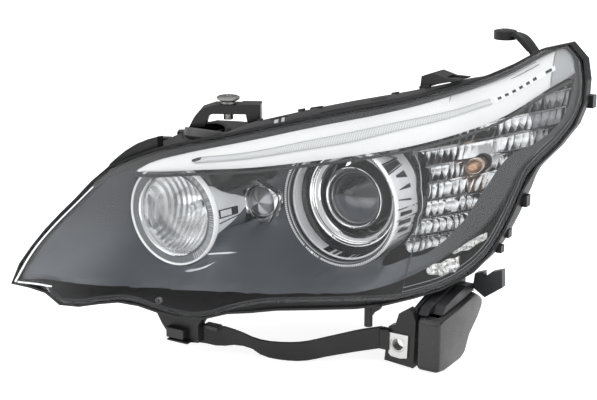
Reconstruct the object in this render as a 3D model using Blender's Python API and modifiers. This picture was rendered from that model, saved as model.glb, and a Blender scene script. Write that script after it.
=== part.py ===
"""Left-hand car headlight assembly: bi-xenon projector, high beam, cornering lamp,
turn signal and LED brow behind one clear cover lens, in a black moulded housing.

Design coordinates, in millimetres: X runs from the inner tip (grille side) outwards,
Y runs backwards into the car (light leaves along -Y), Z is up, and the inner lower tip of
the cover lens is (0, 0, 0).  Every object hangs on one empty that moves the origin to
the top pad of the upper bridge bracket, which is the assembly's main mounting face.
"""
import math

import bmesh
import bpy
import numpy as np
from mathutils import Matrix, Vector

MM = 0.001

# ------------------------------------------------------------------ driving dimensions
ORIGIN = (222.0, 185.5, 213.0)       # top pad of the upper bridge, design coordinates
LENS_T = 2.8                         # cover lens wall
HOUSING_T = 2.6                      # housing wall
BEZEL_T = 1.8
GAP = 0.4                            # clearance between neighbouring solids

HB = (159.0, 82.0)                   # high beam axis (X, Z)
HB_FRONT = 112.0                     # front of its ring
HB_R = 63.0                          # ring outer radius
LB = (327.0, 93.0)                   # low beam axis
LB_FRONT = 220.0
LB_R = 78.0
CL = (228.0, 87.5)                   # cornering lamp axis
CL_FRONT = 203.0
CL_R = 20.6
SWIVEL_Y = 300.0                     # vertical swivel axis and horizontal tilt axis cross here
PROJ_R = 34.5                        # projector lens radius
BACK_A, BACK_B = 225.0, 0.62         # rear wall plane: Y = A + B * (X - 100)
STUB_LB_R = 60.0                     # access tube behind the low beam
STUB_HB_R = 44.0
LB_BACK, HB_BACK = 446.0, 318.0      # rear ends of the access tubes

# Edge of the cover lens (X, Z), from the inner tip over the top and round to the skirt
LENS_EDGE = [(0, 0), (20, 41), (40, 70), (66, 101), (96, 138), (121, 151), (159, 166), (207, 177),
             (248, 187), (323, 205), (403, 222), (468, 245), (505, 270), (519, 273), (533, 262),
             (543, 236), (548, 213), (547, 187), (538, 163), (526, 145), (517, 129), (513, 106),
             (506, 72), (496, 42), (483, 24), (464, 10), (443, 3), (422, -1), (385, 0), (336, 1),
             (298, 0), (268, -7), (249, -14), (228, -17), (206, -15), (182, -9), (152, -3),
             (122, -7), (97, -13), (73, -15), (56, -10), (43, 0), (20, 0)]
# Edge of the dark bezel, inside the lens edge; its top runs behind the brow
BEZEL_EDGE = [(9, 6), (27, 41), (47, 69), (72, 99), (102, 133), (124, 143), (160, 157), (207, 168),
              (248, 178), (323, 196), (403, 213), (468, 236), (503, 259), (518, 262), (527, 252),
              (536, 232), (540, 209), (539, 187), (530, 166), (519, 149), (506, 131), (498, 100),
              (484, 69), (454, 39), (424, 20), (397, 10), (370, 6), (334, 7), (296, 7), (264, 9),
              (232, 10), (176, 9), (115, 7), (63, 6.5), (36, 7)]
# Brow trim, upper and lower edges (X, Z)
BROW_TOP = [(129, 139), (143, 148), (181, 160), (248, 176), (305, 190), (386, 208), (436, 226),
            (468, 240), (490, 254), (508, 266)]
BROW_LOW = [(133, 137), (160, 139), (203, 143), (257, 147), (306, 153), (352, 159), (397, 166),
            (439, 177), (479, 194), (513, 223)]
CAP_TOP = [(509, 266.7), (515, 266), (522, 259), (527, 250)]
CAP_LOW = [(514, 223.5), (520, 228.5), (526, 233), (531, 238)]
GUIDE_TOP = [(196, 156), (253, 164), (301, 175), (347, 185), (390, 195), (433, 204.5), (464, 215)]
GUIDE_LOW = [(195, 151), (254, 158), (303, 167), (349, 175.5), (392, 187), (428, 196), (467, 210)]
# Window of the turn signal in the bezel
TURN_WINDOW = [(398, 36), (422, 42), (436, 45), (447, 54), (462, 74), (477, 112), (487, 140),
               (494, 150), (511, 160), (524, 174), (530, 188), (532, 205), (527, 231), (500, 218),
               (470, 198), (439, 184), (404, 173), (386, 168)]


def lens_y(x, z):
    """The cover lens's outer face: swept back outwards, leaning back upwards."""
    return 0.10 * x + 0.0004 * x * x + 1.0e-6 * x ** 3 + 0.25 * z + 0.0011 * z * abs(z)


def behind(x, z, d):
    """Y of the surface a distance d behind the cover lens's outer face, measured square to it."""
    gx = 0.10 + 0.0008 * x + 3.0e-6 * x * x
    gz = 0.25 + 0.0022 * abs(z)
    return lens_y(x, z) + d * math.sqrt(1 + gx * gx + gz * gz)


# ------------------------------------------------------------------ scene and materials
for old in list(bpy.data.objects):
    bpy.data.objects.remove(old)

parts = bpy.data.collections.new("headlight")
cutters = bpy.data.collections.new("cutters")
bpy.context.scene.collection.children.link(parts)
bpy.context.scene.collection.children.link(cutters)

frame = bpy.data.objects.new("headlight_frame", None)
frame.location = Vector(ORIGIN) * -MM
parts.objects.link(frame)


def material(name, colour, rough, metal=0.0, alpha=1.0):
    m = bpy.data.materials.new(name)
    m.use_nodes = True
    b = m.node_tree.nodes["Principled BSDF"]
    b.inputs["Base Color"].default_value = (*colour, 1.0)
    b.inputs["Roughness"].default_value = rough
    b.inputs["Metallic"].default_value = metal
    b.inputs["Alpha"].default_value = alpha
    return m


BLACK = material("black_plastic", (0.022, 0.022, 0.023), 0.5)
ANTHRACITE = material("anthracite_bezel", (0.075, 0.08, 0.088), 0.4)
SILVER = material("satin_silver", (0.82, 0.82, 0.82), 0.35, 0.5)
CHROME = material("chrome", (0.85, 0.86, 0.87), 0.05, 1.0)
CLEAR = material("clear_polycarbonate", (0.9, 0.92, 0.93), 0.03, 0.0, 0.3)
GUIDE = material("light_guide", (0.85, 0.87, 0.88), 0.15, 0.0, 0.6)
GLASS = material("glass", (0.9, 0.93, 0.95), 0.02, 0.0, 0.35)
STEEL = material("zinc_steel", (0.55, 0.55, 0.54), 0.3, 1.0)
RUBBER = material("rubber", (0.02, 0.02, 0.02), 0.8)
ALU = material("cast_aluminium", (0.6, 0.6, 0.6), 0.45, 1.0)
AMBER = material("amber_glass", (0.9, 0.45, 0.12), 0.1)


# ------------------------------------------------------------------ modelling helpers
def link(obj, helper=False):
    (cutters if helper else parts).objects.link(obj)
    obj.parent = frame
    if helper:
        obj.hide_render = True
        obj.display_type = "WIRE"
    return obj


def mesh_object(name, mesh, mat=None, helper=False, smooth=False):
    obj = bpy.data.objects.new(name, mesh)
    if mat:
        mesh.materials.append(mat)
    if smooth:
        mesh.shade_smooth()
        mesh.set_sharp_from_angle(angle=math.radians(40))
    return link(obj, helper)


AXES = {
    "-Y": Matrix(((1, 0, 0, 0), (0, 0, -1, 0), (0, 1, 0, 0), (0, 0, 0, 1))),
    "Z": Matrix.Identity(4),
    "X": Matrix(((0, 0, 1, 0), (1, 0, 0, 0), (0, 1, 0, 0), (0, 0, 0, 1))),
}


def place(obj, at, axis="Z", turn=None):
    m = AXES[axis].copy()
    if turn is not None:
        m = turn.to_4x4() @ m
    obj.matrix_basis = Matrix.Translation(Vector(at) * MM) @ m
    return obj


def cylinder(name, r, h, at, axis="-Y", mat=None, seg=28, r2=None, helper=False):
    """A cylinder or cone of height h centred on at; its end of radius r is the lower one."""
    bm = bmesh.new()
    bmesh.ops.create_cone(bm, cap_ends=True, cap_tris=False, segments=seg,
                          radius1=r * MM, radius2=(r if r2 is None else r2) * MM, depth=h * MM)
    mesh = bpy.data.meshes.new(name)
    bm.to_mesh(mesh)
    bm.free()
    return place(mesh_object(name, mesh, mat, helper, smooth=not helper), at, axis)


def box(name, size, at, mat=None, bevel=0.0, helper=False, turn=None):
    bm = bmesh.new()
    bmesh.ops.create_cube(bm, size=1.0)
    bmesh.ops.scale(bm, vec=Vector(size) * MM, verts=bm.verts)
    mesh = bpy.data.meshes.new(name)
    bm.to_mesh(mesh)
    bm.free()
    obj = place(mesh_object(name, mesh, mat, helper), at, "Z", turn)
    if bevel:
        b = obj.modifiers.new("round", "BEVEL")
        b.width, b.segments, b.limit_method = bevel * MM, 2, "ANGLE"
    return obj


def turned(name, profile, at, mat=None, axis="-Y", steps=32, helper=False):
    """Turned solid. profile is (radius, distance) with distance measured backwards (+Y) from
    at for axis -Y, or downwards for axis Z; it runs front to back on the outside."""
    verts = [(r * MM, 0.0, -d * MM) for r, d in profile]
    closed = profile[0][0] > 1e-6
    n = len(verts)
    edges = [(i, i + 1) for i in range(n - 1)] + ([(n - 1, 0)] if closed else [])
    mesh = bpy.data.meshes.new(name)
    mesh.from_pydata(verts, edges, [])
    obj = place(mesh_object(name, mesh, mat, helper), at, axis)
    s = obj.modifiers.new("turn", "SCREW")
    s.steps = s.render_steps = steps
    s.use_merge_vertices, s.merge_threshold = True, 1e-5
    s.use_smooth_shade = True
    return obj


def outline(name, pts, thick, at, axis="-Y", mat=None, helper=False):
    """A flat outline (two in-plane coordinates) given thickness about at."""
    curve = bpy.data.curves.new(name, "CURVE")
    curve.dimensions, curve.fill_mode = "2D", "BOTH"
    curve.extrude = thick * MM / 2
    s = curve.splines.new("POLY")
    s.points.add(len(pts) - 1)
    for p, (a, b) in zip(s.points, pts):
        p.co = (a * MM, b * MM, 0, 1)
    s.use_cyclic_u = True
    return place(to_mesh(name, curve, mat, helper), at, axis)


def to_mesh(name, curve, mat=None, helper=False):
    tmp = bpy.data.objects.new(name + "_curve", curve)
    bpy.context.scene.collection.objects.link(tmp)
    bpy.context.view_layer.update()
    graph = bpy.context.evaluated_depsgraph_get()
    mesh = bpy.data.meshes.new_from_object(tmp.evaluated_get(graph))
    bm = bmesh.new()
    bm.from_mesh(mesh)
    bmesh.ops.remove_doubles(bm, verts=bm.verts, dist=1e-6)
    bmesh.ops.recalc_face_normals(bm, faces=bm.faces)
    bm.to_mesh(mesh)
    bm.free()
    bpy.data.objects.remove(tmp)
    mesh.name = name
    mesh.materials.clear()
    return mesh_object(name, mesh, mat, helper)


def tube(name, pts, r, mat=None, cyclic=False, res=1, helper=False):
    """A round bar along a polyline in design coordinates."""
    curve = bpy.data.curves.new(name, "CURVE")
    curve.dimensions = "3D"
    curve.bevel_depth, curve.bevel_resolution, curve.use_fill_caps = r * MM, res, not cyclic
    s = curve.splines.new("POLY")
    s.points.add(len(pts) - 1)
    for p, q in zip(s.points, pts):
        p.co = (*(Vector(q) * MM), 1)
    s.use_cyclic_u = cyclic
    return to_mesh(name, curve, mat, helper)


def modify(obj, other, how):
    b = obj.modifiers.new(how.lower() + "_" + other.name, "BOOLEAN")
    b.operation, b.object, b.solver = how, other, "EXACT"
    return obj


def cut(obj, *others):
    for o in others:
        modify(obj, o, "DIFFERENCE")
    return obj


def join(obj, *others):
    for o in others:
        modify(obj, o, "UNION")
    return obj


def spline(points, n, closed=False):
    """n points at even spacing on a centripetal curve through the given ones."""
    p = [np.array(q, float) for q in points]
    if closed:
        p = [p[-1], *p, p[0], p[1]]
    else:
        p = [2 * p[0] - p[1], *p, 2 * p[-1] - p[-2]]
    out = []
    for i in range(1, len(p) - 2):
        a, b, c, d = p[i - 1:i + 3]
        t = [0.0]
        for u, v in ((a, b), (b, c), (c, d)):
            t.append(t[-1] + max(1e-6, float(np.linalg.norm(v - u))) ** 0.5)
        for s in np.linspace(t[1], t[2], 12, endpoint=False):
            a1 = (t[1] - s) / (t[1] - t[0]) * a + (s - t[0]) / (t[1] - t[0]) * b
            a2 = (t[2] - s) / (t[2] - t[1]) * b + (s - t[1]) / (t[2] - t[1]) * c
            a3 = (t[3] - s) / (t[3] - t[2]) * c + (s - t[2]) / (t[3] - t[2]) * d
            b1 = (t[2] - s) / (t[2] - t[0]) * a1 + (s - t[0]) / (t[2] - t[0]) * a2
            b2 = (t[3] - s) / (t[3] - t[1]) * a2 + (s - t[1]) / (t[3] - t[1]) * a3
            out.append((t[2] - s) / (t[2] - t[1]) * b1 + (s - t[1]) / (t[2] - t[1]) * b2)
    out.append(p[-2] if not closed else out[0])
    out = np.array(out)
    run = np.concatenate([[0], np.cumsum(np.linalg.norm(np.diff(out, axis=0), axis=1))])
    want = np.linspace(0, run[-1], n, endpoint=not closed)
    return np.stack([np.interp(want, run, out[:, k]) for k in range(out.shape[1])], 1)


def offset_loop(loop, d):
    """A closed loop of (X, Z) moved outwards by d, by the normal of its neighbours."""
    nxt, prv = np.roll(loop, -1, 0), np.roll(loop, 1, 0)
    t = nxt - prv
    t /= np.linalg.norm(t, axis=1)[:, None]
    n = np.stack([-t[:, 1], t[:, 0]], 1)
    area = 0.5 * np.sum(loop[:, 0] * nxt[:, 1] - nxt[:, 0] * loop[:, 1])
    return loop + n * (d if area < 0 else -d)


def grid_mesh(name, rows, mat=None, cyclic=False, cap_last=False, fan_last=None, helper=False):
    """An open surface through rows of points in design millimetres."""
    rows = [np.asarray(r, float) for r in rows]
    n = len(rows[0])
    verts = [tuple(v * MM) for r in rows for v in r]
    faces = []
    for i in range(len(rows) - 1):
        for j in range(n if cyclic else n - 1):
            k = (j + 1) % n
            faces.append((i * n + j, i * n + k, (i + 1) * n + k, (i + 1) * n + j))
    last = (len(rows) - 1) * n
    if cap_last:
        faces.append(tuple(last + j for j in range(n)))
    if fan_last is not None:
        verts.append(tuple(np.asarray(fan_last, float) * MM))
        c = len(verts) - 1
        faces += [(last + j, last + (j + 1) % n, c) for j in range(n)]
    mesh = bpy.data.meshes.new(name)
    mesh.from_pydata(verts, [], faces)
    mesh.update()
    return mesh_object(name, mesh, mat, helper, smooth=True)


def slab(name, front, back, mat=None, helper=False):
    """A closed plate between two matching grids of points, front facing -Y."""
    rows, n = len(front), len(front[0])
    verts = [tuple(np.asarray(v, float) * MM) for g in (front, back) for r in g for v in r]
    m = rows * n
    faces = []
    for i in range(rows - 1):
        for j in range(n - 1):
            a, b, c, d = i * n + j, i * n + j + 1, (i + 1) * n + j + 1, (i + 1) * n + j
            faces += [(a, b, c), (a, c, d), (m + a, m + c, m + b), (m + a, m + d, m + c)]
    ring = ([j for j in range(n)] + [i * n + n - 1 for i in range(1, rows)]
            + [(rows - 1) * n + j for j in range(n - 2, -1, -1)] + [i * n for i in range(rows - 2, 0, -1)])
    for a, b in zip(ring, ring[1:] + ring[:1]):
        faces.append((b, a, m + a, m + b))
    mesh = bpy.data.meshes.new(name)
    mesh.from_pydata(verts, [], faces)
    mesh.update()
    return mesh_object(name, mesh, mat, helper, smooth=True)


def shell(obj, thick, offset=-1.0):
    s = obj.modifiers.new("wall", "SOLIDIFY")
    s.thickness, s.offset = thick * MM, offset
    s.use_even_offset = False
    return obj


def strip(name, top, low, depth, crown, thick, mat, n=24, across=4):
    """A band between two edge curves, depth behind the lens face, bulged forwards by crown."""
    t, b = spline(top, n), spline(low, n)
    rows = []
    for k in range(across + 1):
        s = k / across
        row = t * (1 - s) + b * s
        rows.append([(x, behind(x, z, depth - crown * 4 * s * (1 - s)), z) for x, z in row])
    return shell(grid_mesh(name, rows, mat), thick, 1.0)


def circle(centre, r, degrees):
    return [(centre[0] + r * math.cos(math.radians(a)), centre[1] + r * math.sin(math.radians(a)))
            for a in degrees]


class Blend:
    """A height Y over (X, Z), held as depth behind the lens face, that meets given boundary
    points and runs evenly between them."""

    def __init__(self):
        self.p, self.w = [], []

    def add(self, pts, heights, step):
        self.p += [(x, z, y - lens_y(x, z)) for (x, z), y in zip(pts, heights)]
        self.w += [step] * len(pts)

    def done(self):
        self.p, self.w = np.array(self.p, float), np.array(self.w, float)
        return self

    def __call__(self, x, z):
        d2 = (self.p[:, 0] - x) ** 2 + (self.p[:, 1] - z) ** 2 + 0.5
        w = self.w / d2 ** 1.15
        return lens_y(x, z) + float((w * self.p[:, 2]).sum() / w.sum())


# Height of the bezel where it meets each lamp, by angle round the lamp
HB_RIM = ([-180, -20, -12, -6, 0, 14, 22, 30, 40, 60, 180], [117, 118, 128, 158, 170, 170, 155, 136, 124, 119, 117])
LB_RIM = ([-180, -60, -46, -36, -28, 38, 48, 58, 80, 180], [223, 224, 230, 258, 279, 279, 254, 234, 225, 223])
bezel_loop = spline(BEZEL_EDGE, 96, closed=True)
turn_loop = spline(TURN_WINDOW, 48, closed=True)


def outside(pts, *discs):
    return [p for p in pts if all(math.dist(p, at) > r for at, r in discs)]


bezel_y = Blend()
bezel_y.add(bezel_loop, [behind(x, z, 11 if z > 135 and x < 532 or z > 220 else 7) for x, z in bezel_loop], 12)
a_hb = [a for a in range(-180, 180, 8)
        if math.dist(circle(HB, HB_R + 0.7, [a])[0], CL) > CL_R + 1]
bezel_y.add(circle(HB, HB_R + 0.7, a_hb), np.interp(a_hb, *HB_RIM), 9)
a_lb = [a for a in range(-180, 180, 7)]
bezel_y.add(circle(LB, LB_R + 0.6, a_lb), np.interp(a_lb, *LB_RIM), 9.6)
p_cl = outside(circle(CL, CL_R + 0.8, range(0, 360, 18)), (HB, HB_R + 4), (LB, LB_R + 3))
bezel_y.add(p_cl, [204] * len(p_cl), 6.5)
p_turn = outside(turn_loop, (LB, LB_R + 14))
bezel_y.add(p_turn, [behind(x, z, 9) + 5 for x, z in p_turn], 9)
bezel_y.done()


def turn_y(x, z):
    return lens_y(x, z) + 94 - 0.5 * (x - 405)



# ------------------------------------------------------------------ housing
N = 56
edge = spline(LENS_EDGE, N, closed=True)
edge_y = np.array([lens_y(x, z) for x, z in edge])


def cyl_y(name, r, y0, y1, at, mat=None, seg=32, helper=False):
    return cylinder(name, r, y1 - y0, (at[0], (y0 + y1) / 2, at[1]), "-Y", mat, seg, helper=helper)


def cyl_x(name, r, x0, x1, y, z, mat=None, seg=16, helper=False):
    return cylinder(name, r, x1 - x0, ((x0 + x1) / 2, y, z), "X", mat, seg, helper=helper)


def rear_plane(x):
    return BACK_A + BACK_B * (x - 100)


rear = np.stack([66 + 0.755 * edge[:, 0], -2 + (edge[:, 1] + 17) * 0.78], 1)
up = offset_loop(edge, 1.0)[:, 1] - edge[:, 1]


def ledge(x):
    """How far the flange hangs lower under the middle of the lamp."""
    return 6.0 * max(0.0, min(1.0, (x - 262) / 22, (424 - x) / 24))


def rim(d, back):
    q = offset_loop(edge, d)
    if d > 0:
        q[:, 1] -= np.clip(-up, 0, 1) * np.array([ledge(x) for x in edge[:, 0]])
    return np.stack([q[:, 0], [behind(x, z, back) for x, z in edge], q[:, 1]], 1)


def housing_row(f):
    """A section of the tub, from the flange (0) to the rear wall (1), crowned upwards
    over the inner end where the bonnet stop sits."""
    k = f ** 1.7
    inset = 0.6 + min(1.0, f / 0.2) * (5.0 - 3.8 * np.clip(-up, 0, 1))
    xz = (edge + (offset_loop(edge, -1.0) - edge) * inset[:, None]) * (1 - k) + rear * k
    y = rim(0, 9.6)[:, 1] * (1 - f) + rear_plane(rear[:, 0]) * f
    swell = 27 * np.exp(-((edge[:, 0] - 148) / 72) ** 2) + 5
    xz[:, 1] += np.clip(up, 0, 1) * swell * 4 * f * (1 - f)
    return np.stack([xz[:, 0], y, xz[:, 1]], 1)


last = rear * 0.93 + rear.mean(0) * 0.07
rows = [rim(3.0, 0.6), rim(3.2, 8.6), rim(-0.6, 9.6), housing_row(0.2), housing_row(0.42),
        housing_row(0.7), housing_row(0.93),
        np.stack([last[:, 0], rear_plane(last[:, 0]) + 1.0, last[:, 1]], 1)]
housing = shell(grid_mesh("housing", rows, BLACK, cyclic=True, cap_last=True), HOUSING_T)

TURN_BULB = (455.0, 135.0)
SOCKET = (181.0, 158.0, 168.0)       # bonnet stop socket, on the top of the tub
SOCKET_TILT = Matrix.Rotation(math.radians(15), 3, "X")
LEVEL = (285.0, 24.0)                # levelling rod axis
ADJ_V, ADJ_H = (252.0, 144.0), (404.0, 148.0)

crest_low = [(90, 139), (100, 143), (111, 147), (123, 152), (134, 155), (145, 158)]
crest_top = [(90, 142), (98, 150), (108, 159), (121, 168), (134, 174), (145, 177)]


def crest_rows(shift):
    return [[(x, lens_y(x, base[1]) + 13 + shift, z) for (x, z), base in zip(line, crest_low)]
            for line in (crest_low, crest_top)]


crest = slab("crest", crest_rows(0), crest_rows(11), helper=True)
join(housing,
     crest,
     outline("peg_web", [(396, -6), (412, -6), (409, -11), (402, -16), (398, -22), (396, -22)], 4, (0, 176, 0), helper=True),
     box("outer_boss_a", (8, 12, 14), (516, 344, 97), helper=True),
     box("outer_boss_b", (7, 10, 10), (505.5, 318, 61), helper=True),
     box("outer_boss_c", (7, 10, 9), (501.5, 306, 44), helper=True),
     box("outer_boss_d", (8, 12, 16), (551.5, 461, 203), helper=True),
     cyl_y("lb_tube_add", STUB_LB_R, 352, LB_BACK, LB, helper=True),
     cyl_y("hb_tube_add", STUB_HB_R, 240, HB_BACK, HB, helper=True),
     cyl_y("turn_pocket_add", 22, 371, 452, TURN_BULB, seg=24, helper=True),
     cylinder("locating_peg", 5, 32, (394, 176, -18), "Z", seg=14, helper=True),
     box("catch_a", (16, 16, 26), (148, 156, 163), helper=True, turn=Matrix.Rotation(math.radians(28), 3, "Z")),
     box("catch_b", (18, 12, 20), (121, 150, 156), helper=True, turn=Matrix.Rotation(math.radians(24), 3, "Z")))
socket_cut = cylinder("socket_cut", 29.6, 60, SOCKET, "Z", seg=32, helper=True)
place(socket_cut, SOCKET, "Z", SOCKET_TILT)
cut(housing,
    cyl_y("lb_tube_cut", STUB_LB_R - 3, 330, LB_BACK + 8, LB, helper=True),
    cyl_y("hb_tube_cut", STUB_HB_R - 3, 222, HB_BACK + 8, HB, helper=True),
    cyl_y("turn_pocket_cut", 19.5, 374, 470, TURN_BULB, seg=24, helper=True),
    cyl_y("turn_hole_cut", 14, 360, 380, TURN_BULB, seg=24, helper=True),
    cyl_y("level_hole_cut", 9.6, 300, 380, LEVEL, seg=16, helper=True),
    cyl_y("adj_v_cut", 4.6, 290, 345, ADJ_V, seg=12, helper=True),
    cyl_y("adj_h_cut", 4.6, 380, 440, ADJ_H, seg=12, helper=True),
    socket_cut)

# ------------------------------------------------------------------ cover lens and seal
centre = (300.0, 100.0)
lens_loop = offset_loop(edge, -0.2)
c = np.array(centre)
rows = [np.stack([lens_loop[:, 0], rim(0, 5.0)[:, 1], lens_loop[:, 1]], 1),
        np.stack([lens_loop[:, 0], rim(0, 0.8)[:, 1], lens_loop[:, 1]], 1)]
for s in (0.985, 0.88, 0.76, 0.63, 0.5, 0.36, 0.2):
    q = c + s * (lens_loop - c)
    rows.append(np.array([(x, lens_y(x, z), z) for x, z in q]))
outer_lens = shell(grid_mesh("outer_lens", rows, CLEAR, cyclic=True,
                             fan_last=(c[0], lens_y(*c), c[1])), LENS_T, 1.0)


def band_width(x, z):
    """Width of the black border: broad over the brow, narrow round the inner tip."""
    top = max(0.0, min(1.0, (z - 120) / 25)) * max(0.0, min(1.0, (475 - x) / 120))
    return 2.2 + 4.6 * top


q0 = offset_loop(edge, -3.8)
wide = np.array([band_width(x, z) for x, z in edge])
q1 = edge + (offset_loop(edge, -1.0) - edge) * (3.8 + wide)[:, None]
rows = [np.array([(x, behind(x, z, 4.0), z) for x, z in q]) for q in (q0, q1)]
lens_seal = shell(grid_mesh("lens_seal", rows, RUBBER, cyclic=True), 1.4, 1.0)

# ------------------------------------------------------------------ bezel with its openings
left, right = int(np.argmin(bezel_loop[:, 0])), int(np.argmax(bezel_loop[:, 0]))
loop2 = np.roll(bezel_loop, -left, 0)
turn_at = (right - left) % len(loop2)
upper, lower = loop2[:turn_at + 1], loop2[turn_at:][::-1]
lower = np.vstack([loop2[:1], lower])
xs = 10 + (539.6 - 10) * (0.5 - 0.5 * np.cos(np.pi * np.linspace(0.04, 0.97, 38))) ** 0.9
xs[0], xs[-1] = 11.5, 539.6
levels = [0, 0.013, 0.03, 0.055, 0.09, 0.14, 0.21, 0.3, 0.41, 0.53, 0.66, 0.79, 0.91, 1]
z_low = np.interp(xs, lower[:, 0], lower[:, 1])
z_top = np.interp(xs, upper[:, 0], upper[:, 1])


def bezel_back(x, z, y):
    """The back of the bezel: its wall measured along Y grows where the surface is steep."""
    gx = (bezel_y(x + 1.5, z) - bezel_y(x - 1.5, z)) / 3
    gz = (bezel_y(x, z + 1.5) - bezel_y(x, z - 1.5)) / 3
    return y + min(8.0, BEZEL_T * math.sqrt(1 + gx * gx + gz * gz))


rows = [[(x, bezel_y(x, z), z) for x, z in zip(xs, z_low + (z_top - z_low) * t)] for t in levels]
bezel = slab("bezel", rows, [[(x, bezel_back(x, z, y), z) for x, y, z in r] for r in rows], ANTHRACITE)
turn_prism = outline("turn_prism", turn_loop, 900, (0, 200, 0), helper=True)
cut(turn_prism, cyl_y("turn_rib", LB_R + 5.0, -400, 800, LB, seg=40, helper=True))
lamp_holes = cyl_y("lb_hole", LB_R + 0.6, 0, 400, LB, seg=44, helper=True)
join(lamp_holes, cyl_y("hb_hole", HB_R + 0.7, 0, 400, HB, seg=40, helper=True),
     cyl_y("cl_hole", CL_R + 0.8, 0, 400, CL, seg=28, helper=True))
cut(bezel, lamp_holes, turn_prism)

# ------------------------------------------------------------------ brow
brow_trim = strip("brow_trim", BROW_TOP, BROW_LOW, 7.0, 0.6, 2.0, SILVER, 26, 3)
brow_end_cap = strip("brow_end_cap", CAP_TOP, CAP_LOW, 7.0, 0.6, 2.0, SILVER, 6, 3)
brow_light_guide = strip("brow_light_guide", GUIDE_TOP, GUIDE_LOW, 4.4, 0.0, 1.1, GUIDE, 24, 1)
brow_led_strip = strip("brow_led_strip", [(467, 216), (483, 226), (500, 240), (512, 249)],
                       [(470.5, 211.5), (487, 221.5), (503, 234.5), (514.5, 243.5)], 4.4, 0.0, 1.1, ALU, 9, 1)
lip_top = [(129, 134.6), (160, 136.4), (203, 140.3), (257, 144.3), (306, 150.3), (352, 156.2),
           (397, 163.2), (439, 174), (479, 190.6), (513, 219.4), (532, 232)]
lip_low = [(131, 131.6), (160, 133.4), (203, 137.3), (257, 141.3), (306, 147.3), (352, 153.2),
           (397, 160.2), (439.5, 170.8), (480, 187.4), (514.5, 216.2), (533, 228)]
brow_lower_lip = strip("brow_lower_lip", lip_top, lip_low, 5.2, 0.0, 2.0, BLACK, 24, 1)

# ------------------------------------------------------------------ high beam
high_beam_ring = turned("high_beam_ring", [
    (56.8, 113.6), (57.6, 112.2), (60.2, 111.6), (62.4, 112.6), (63, 115), (63, 120),
    (56.8, 120)], (HB[0], 0, HB[1]), GUIDE, steps=30)
high_beam_drum = turned("high_beam_drum", [
    (50.6, 124), (56.4, 120.4), (62.8, 120.4), (62.8, 201), (60.6, 201), (60.6, 129.5),
    (50.6, 128.2)], (HB[0], 0, HB[1]), CHROME, steps=30)
cut(high_beam_drum, box("drum_back", (90, 40, 140), (HB[0] - 45 - 6, 196, HB[1]), helper=True),
    box("drum_top", (140, 40, 60), (HB[0], 196, HB[1] + 65), helper=True))
high_beam_lens = turned("high_beam_lens", [
    (0, 122.6), (30, 123.4), (49.8, 124.8), (49.8, 128), (0, 126.2)], (HB[0], 0, HB[1]), GLASS, steps=30)
high_beam_reflector = turned("high_beam_reflector", [
    (57, 131), (60, 131), (59, 142), (54, 156), (44, 172), (31, 185), (16, 193.5), (12, 194.5),
    (10, 192.6), (15, 191), (29.6, 182.6), (42.2, 170), (51.8, 154.6), (56, 142)],
    (HB[0], 0, HB[1]), CHROME, steps=30)
high_beam_bulb = turned("high_beam_bulb", [
    (0, 158), (3.4, 159.6), (5, 163), (5, 187), (8.4, 191), (8.4, 195.2), (14, 195.2), (14, 204),
    (10, 206), (10, 228), (0, 228)], (HB[0], 0, HB[1]), GLASS, steps=16)
high_beam_cover = turned("high_beam_cover", [
    (44.6, HB_BACK - 12), (48, HB_BACK - 12), (48.4, HB_BACK + 5.4), (46, HB_BACK + 7.4), (0, HB_BACK + 7.4),
    (0, HB_BACK + 4), (44.6, HB_BACK + 4)], (HB[0], 0, HB[1]), BLACK, steps=32)
join(high_beam_cover, box("hb_grip", (70, 12, 9), (HB[0], HB_BACK + 12, HB[1]), helper=True))
high_beam_cover_seal = turned("high_beam_cover_seal", [
    (38, HB_BACK + 0.5), (43.6, HB_BACK + 0.5), (43.6, HB_BACK + 3.4), (38, HB_BACK + 3.4)],
    (HB[0], 0, HB[1]), RUBBER, steps=32)

# ------------------------------------------------------------------ cornering lamp
cornering_lamp_cup = turned("cornering_lamp_cup", [
    (18, 204), (19, 203), (20.6, 203.6), (20.6, 212), (15, 219), (7, 226.5), (0, 226.5), (0, 224.6),
    (6, 224.6), (13.6, 217.6), (18.2, 211)], (CL[0], 0, CL[1]), CHROME, steps=28)
cornering_lamp_lens = turned("cornering_lamp_lens", [
    (0, 203.2), (12, 204.6), (17.6, 206.6), (17.6, 209), (12, 207.4), (0, 206)], (CL[0], 0, CL[1]), GLASS, steps=24)

# ------------------------------------------------------------------ low beam surround
low_beam_ring = turned("low_beam_ring", [
    (73, 222.4), (73.8, 220.6), (75.6, 220), (77.4, 220.6), (78, 222.6), (78, 227.6), (73, 227.6)],
    (LB[0], 0, LB[1]), GUIDE, steps=36)
low_beam_drum = turned("low_beam_drum", [
    (72.8, 228), (77.8, 228), (77.8, 284), (75.8, 284), (75.6, 243), (71.6, 240)],
    (LB[0], 0, LB[1]), CHROME, steps=36)
low_beam_shroud = turned("low_beam_shroud", [
    (71.2, 237), (71.2, 240), (61.6, 256.6), (61.6, 253.4)], (LB[0], 0, LB[1]), ANTHRACITE, steps=36)
low_beam_trim_ring = turned("low_beam_trim_ring", [
    (58, 256), (59.4, 254.6), (61.2, 255), (61.2, 258.4), (51, 266), (50, 288), (47.6, 288), (47.8, 264.4)],
    (LB[0], 0, LB[1]), CHROME, steps=36)

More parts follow.
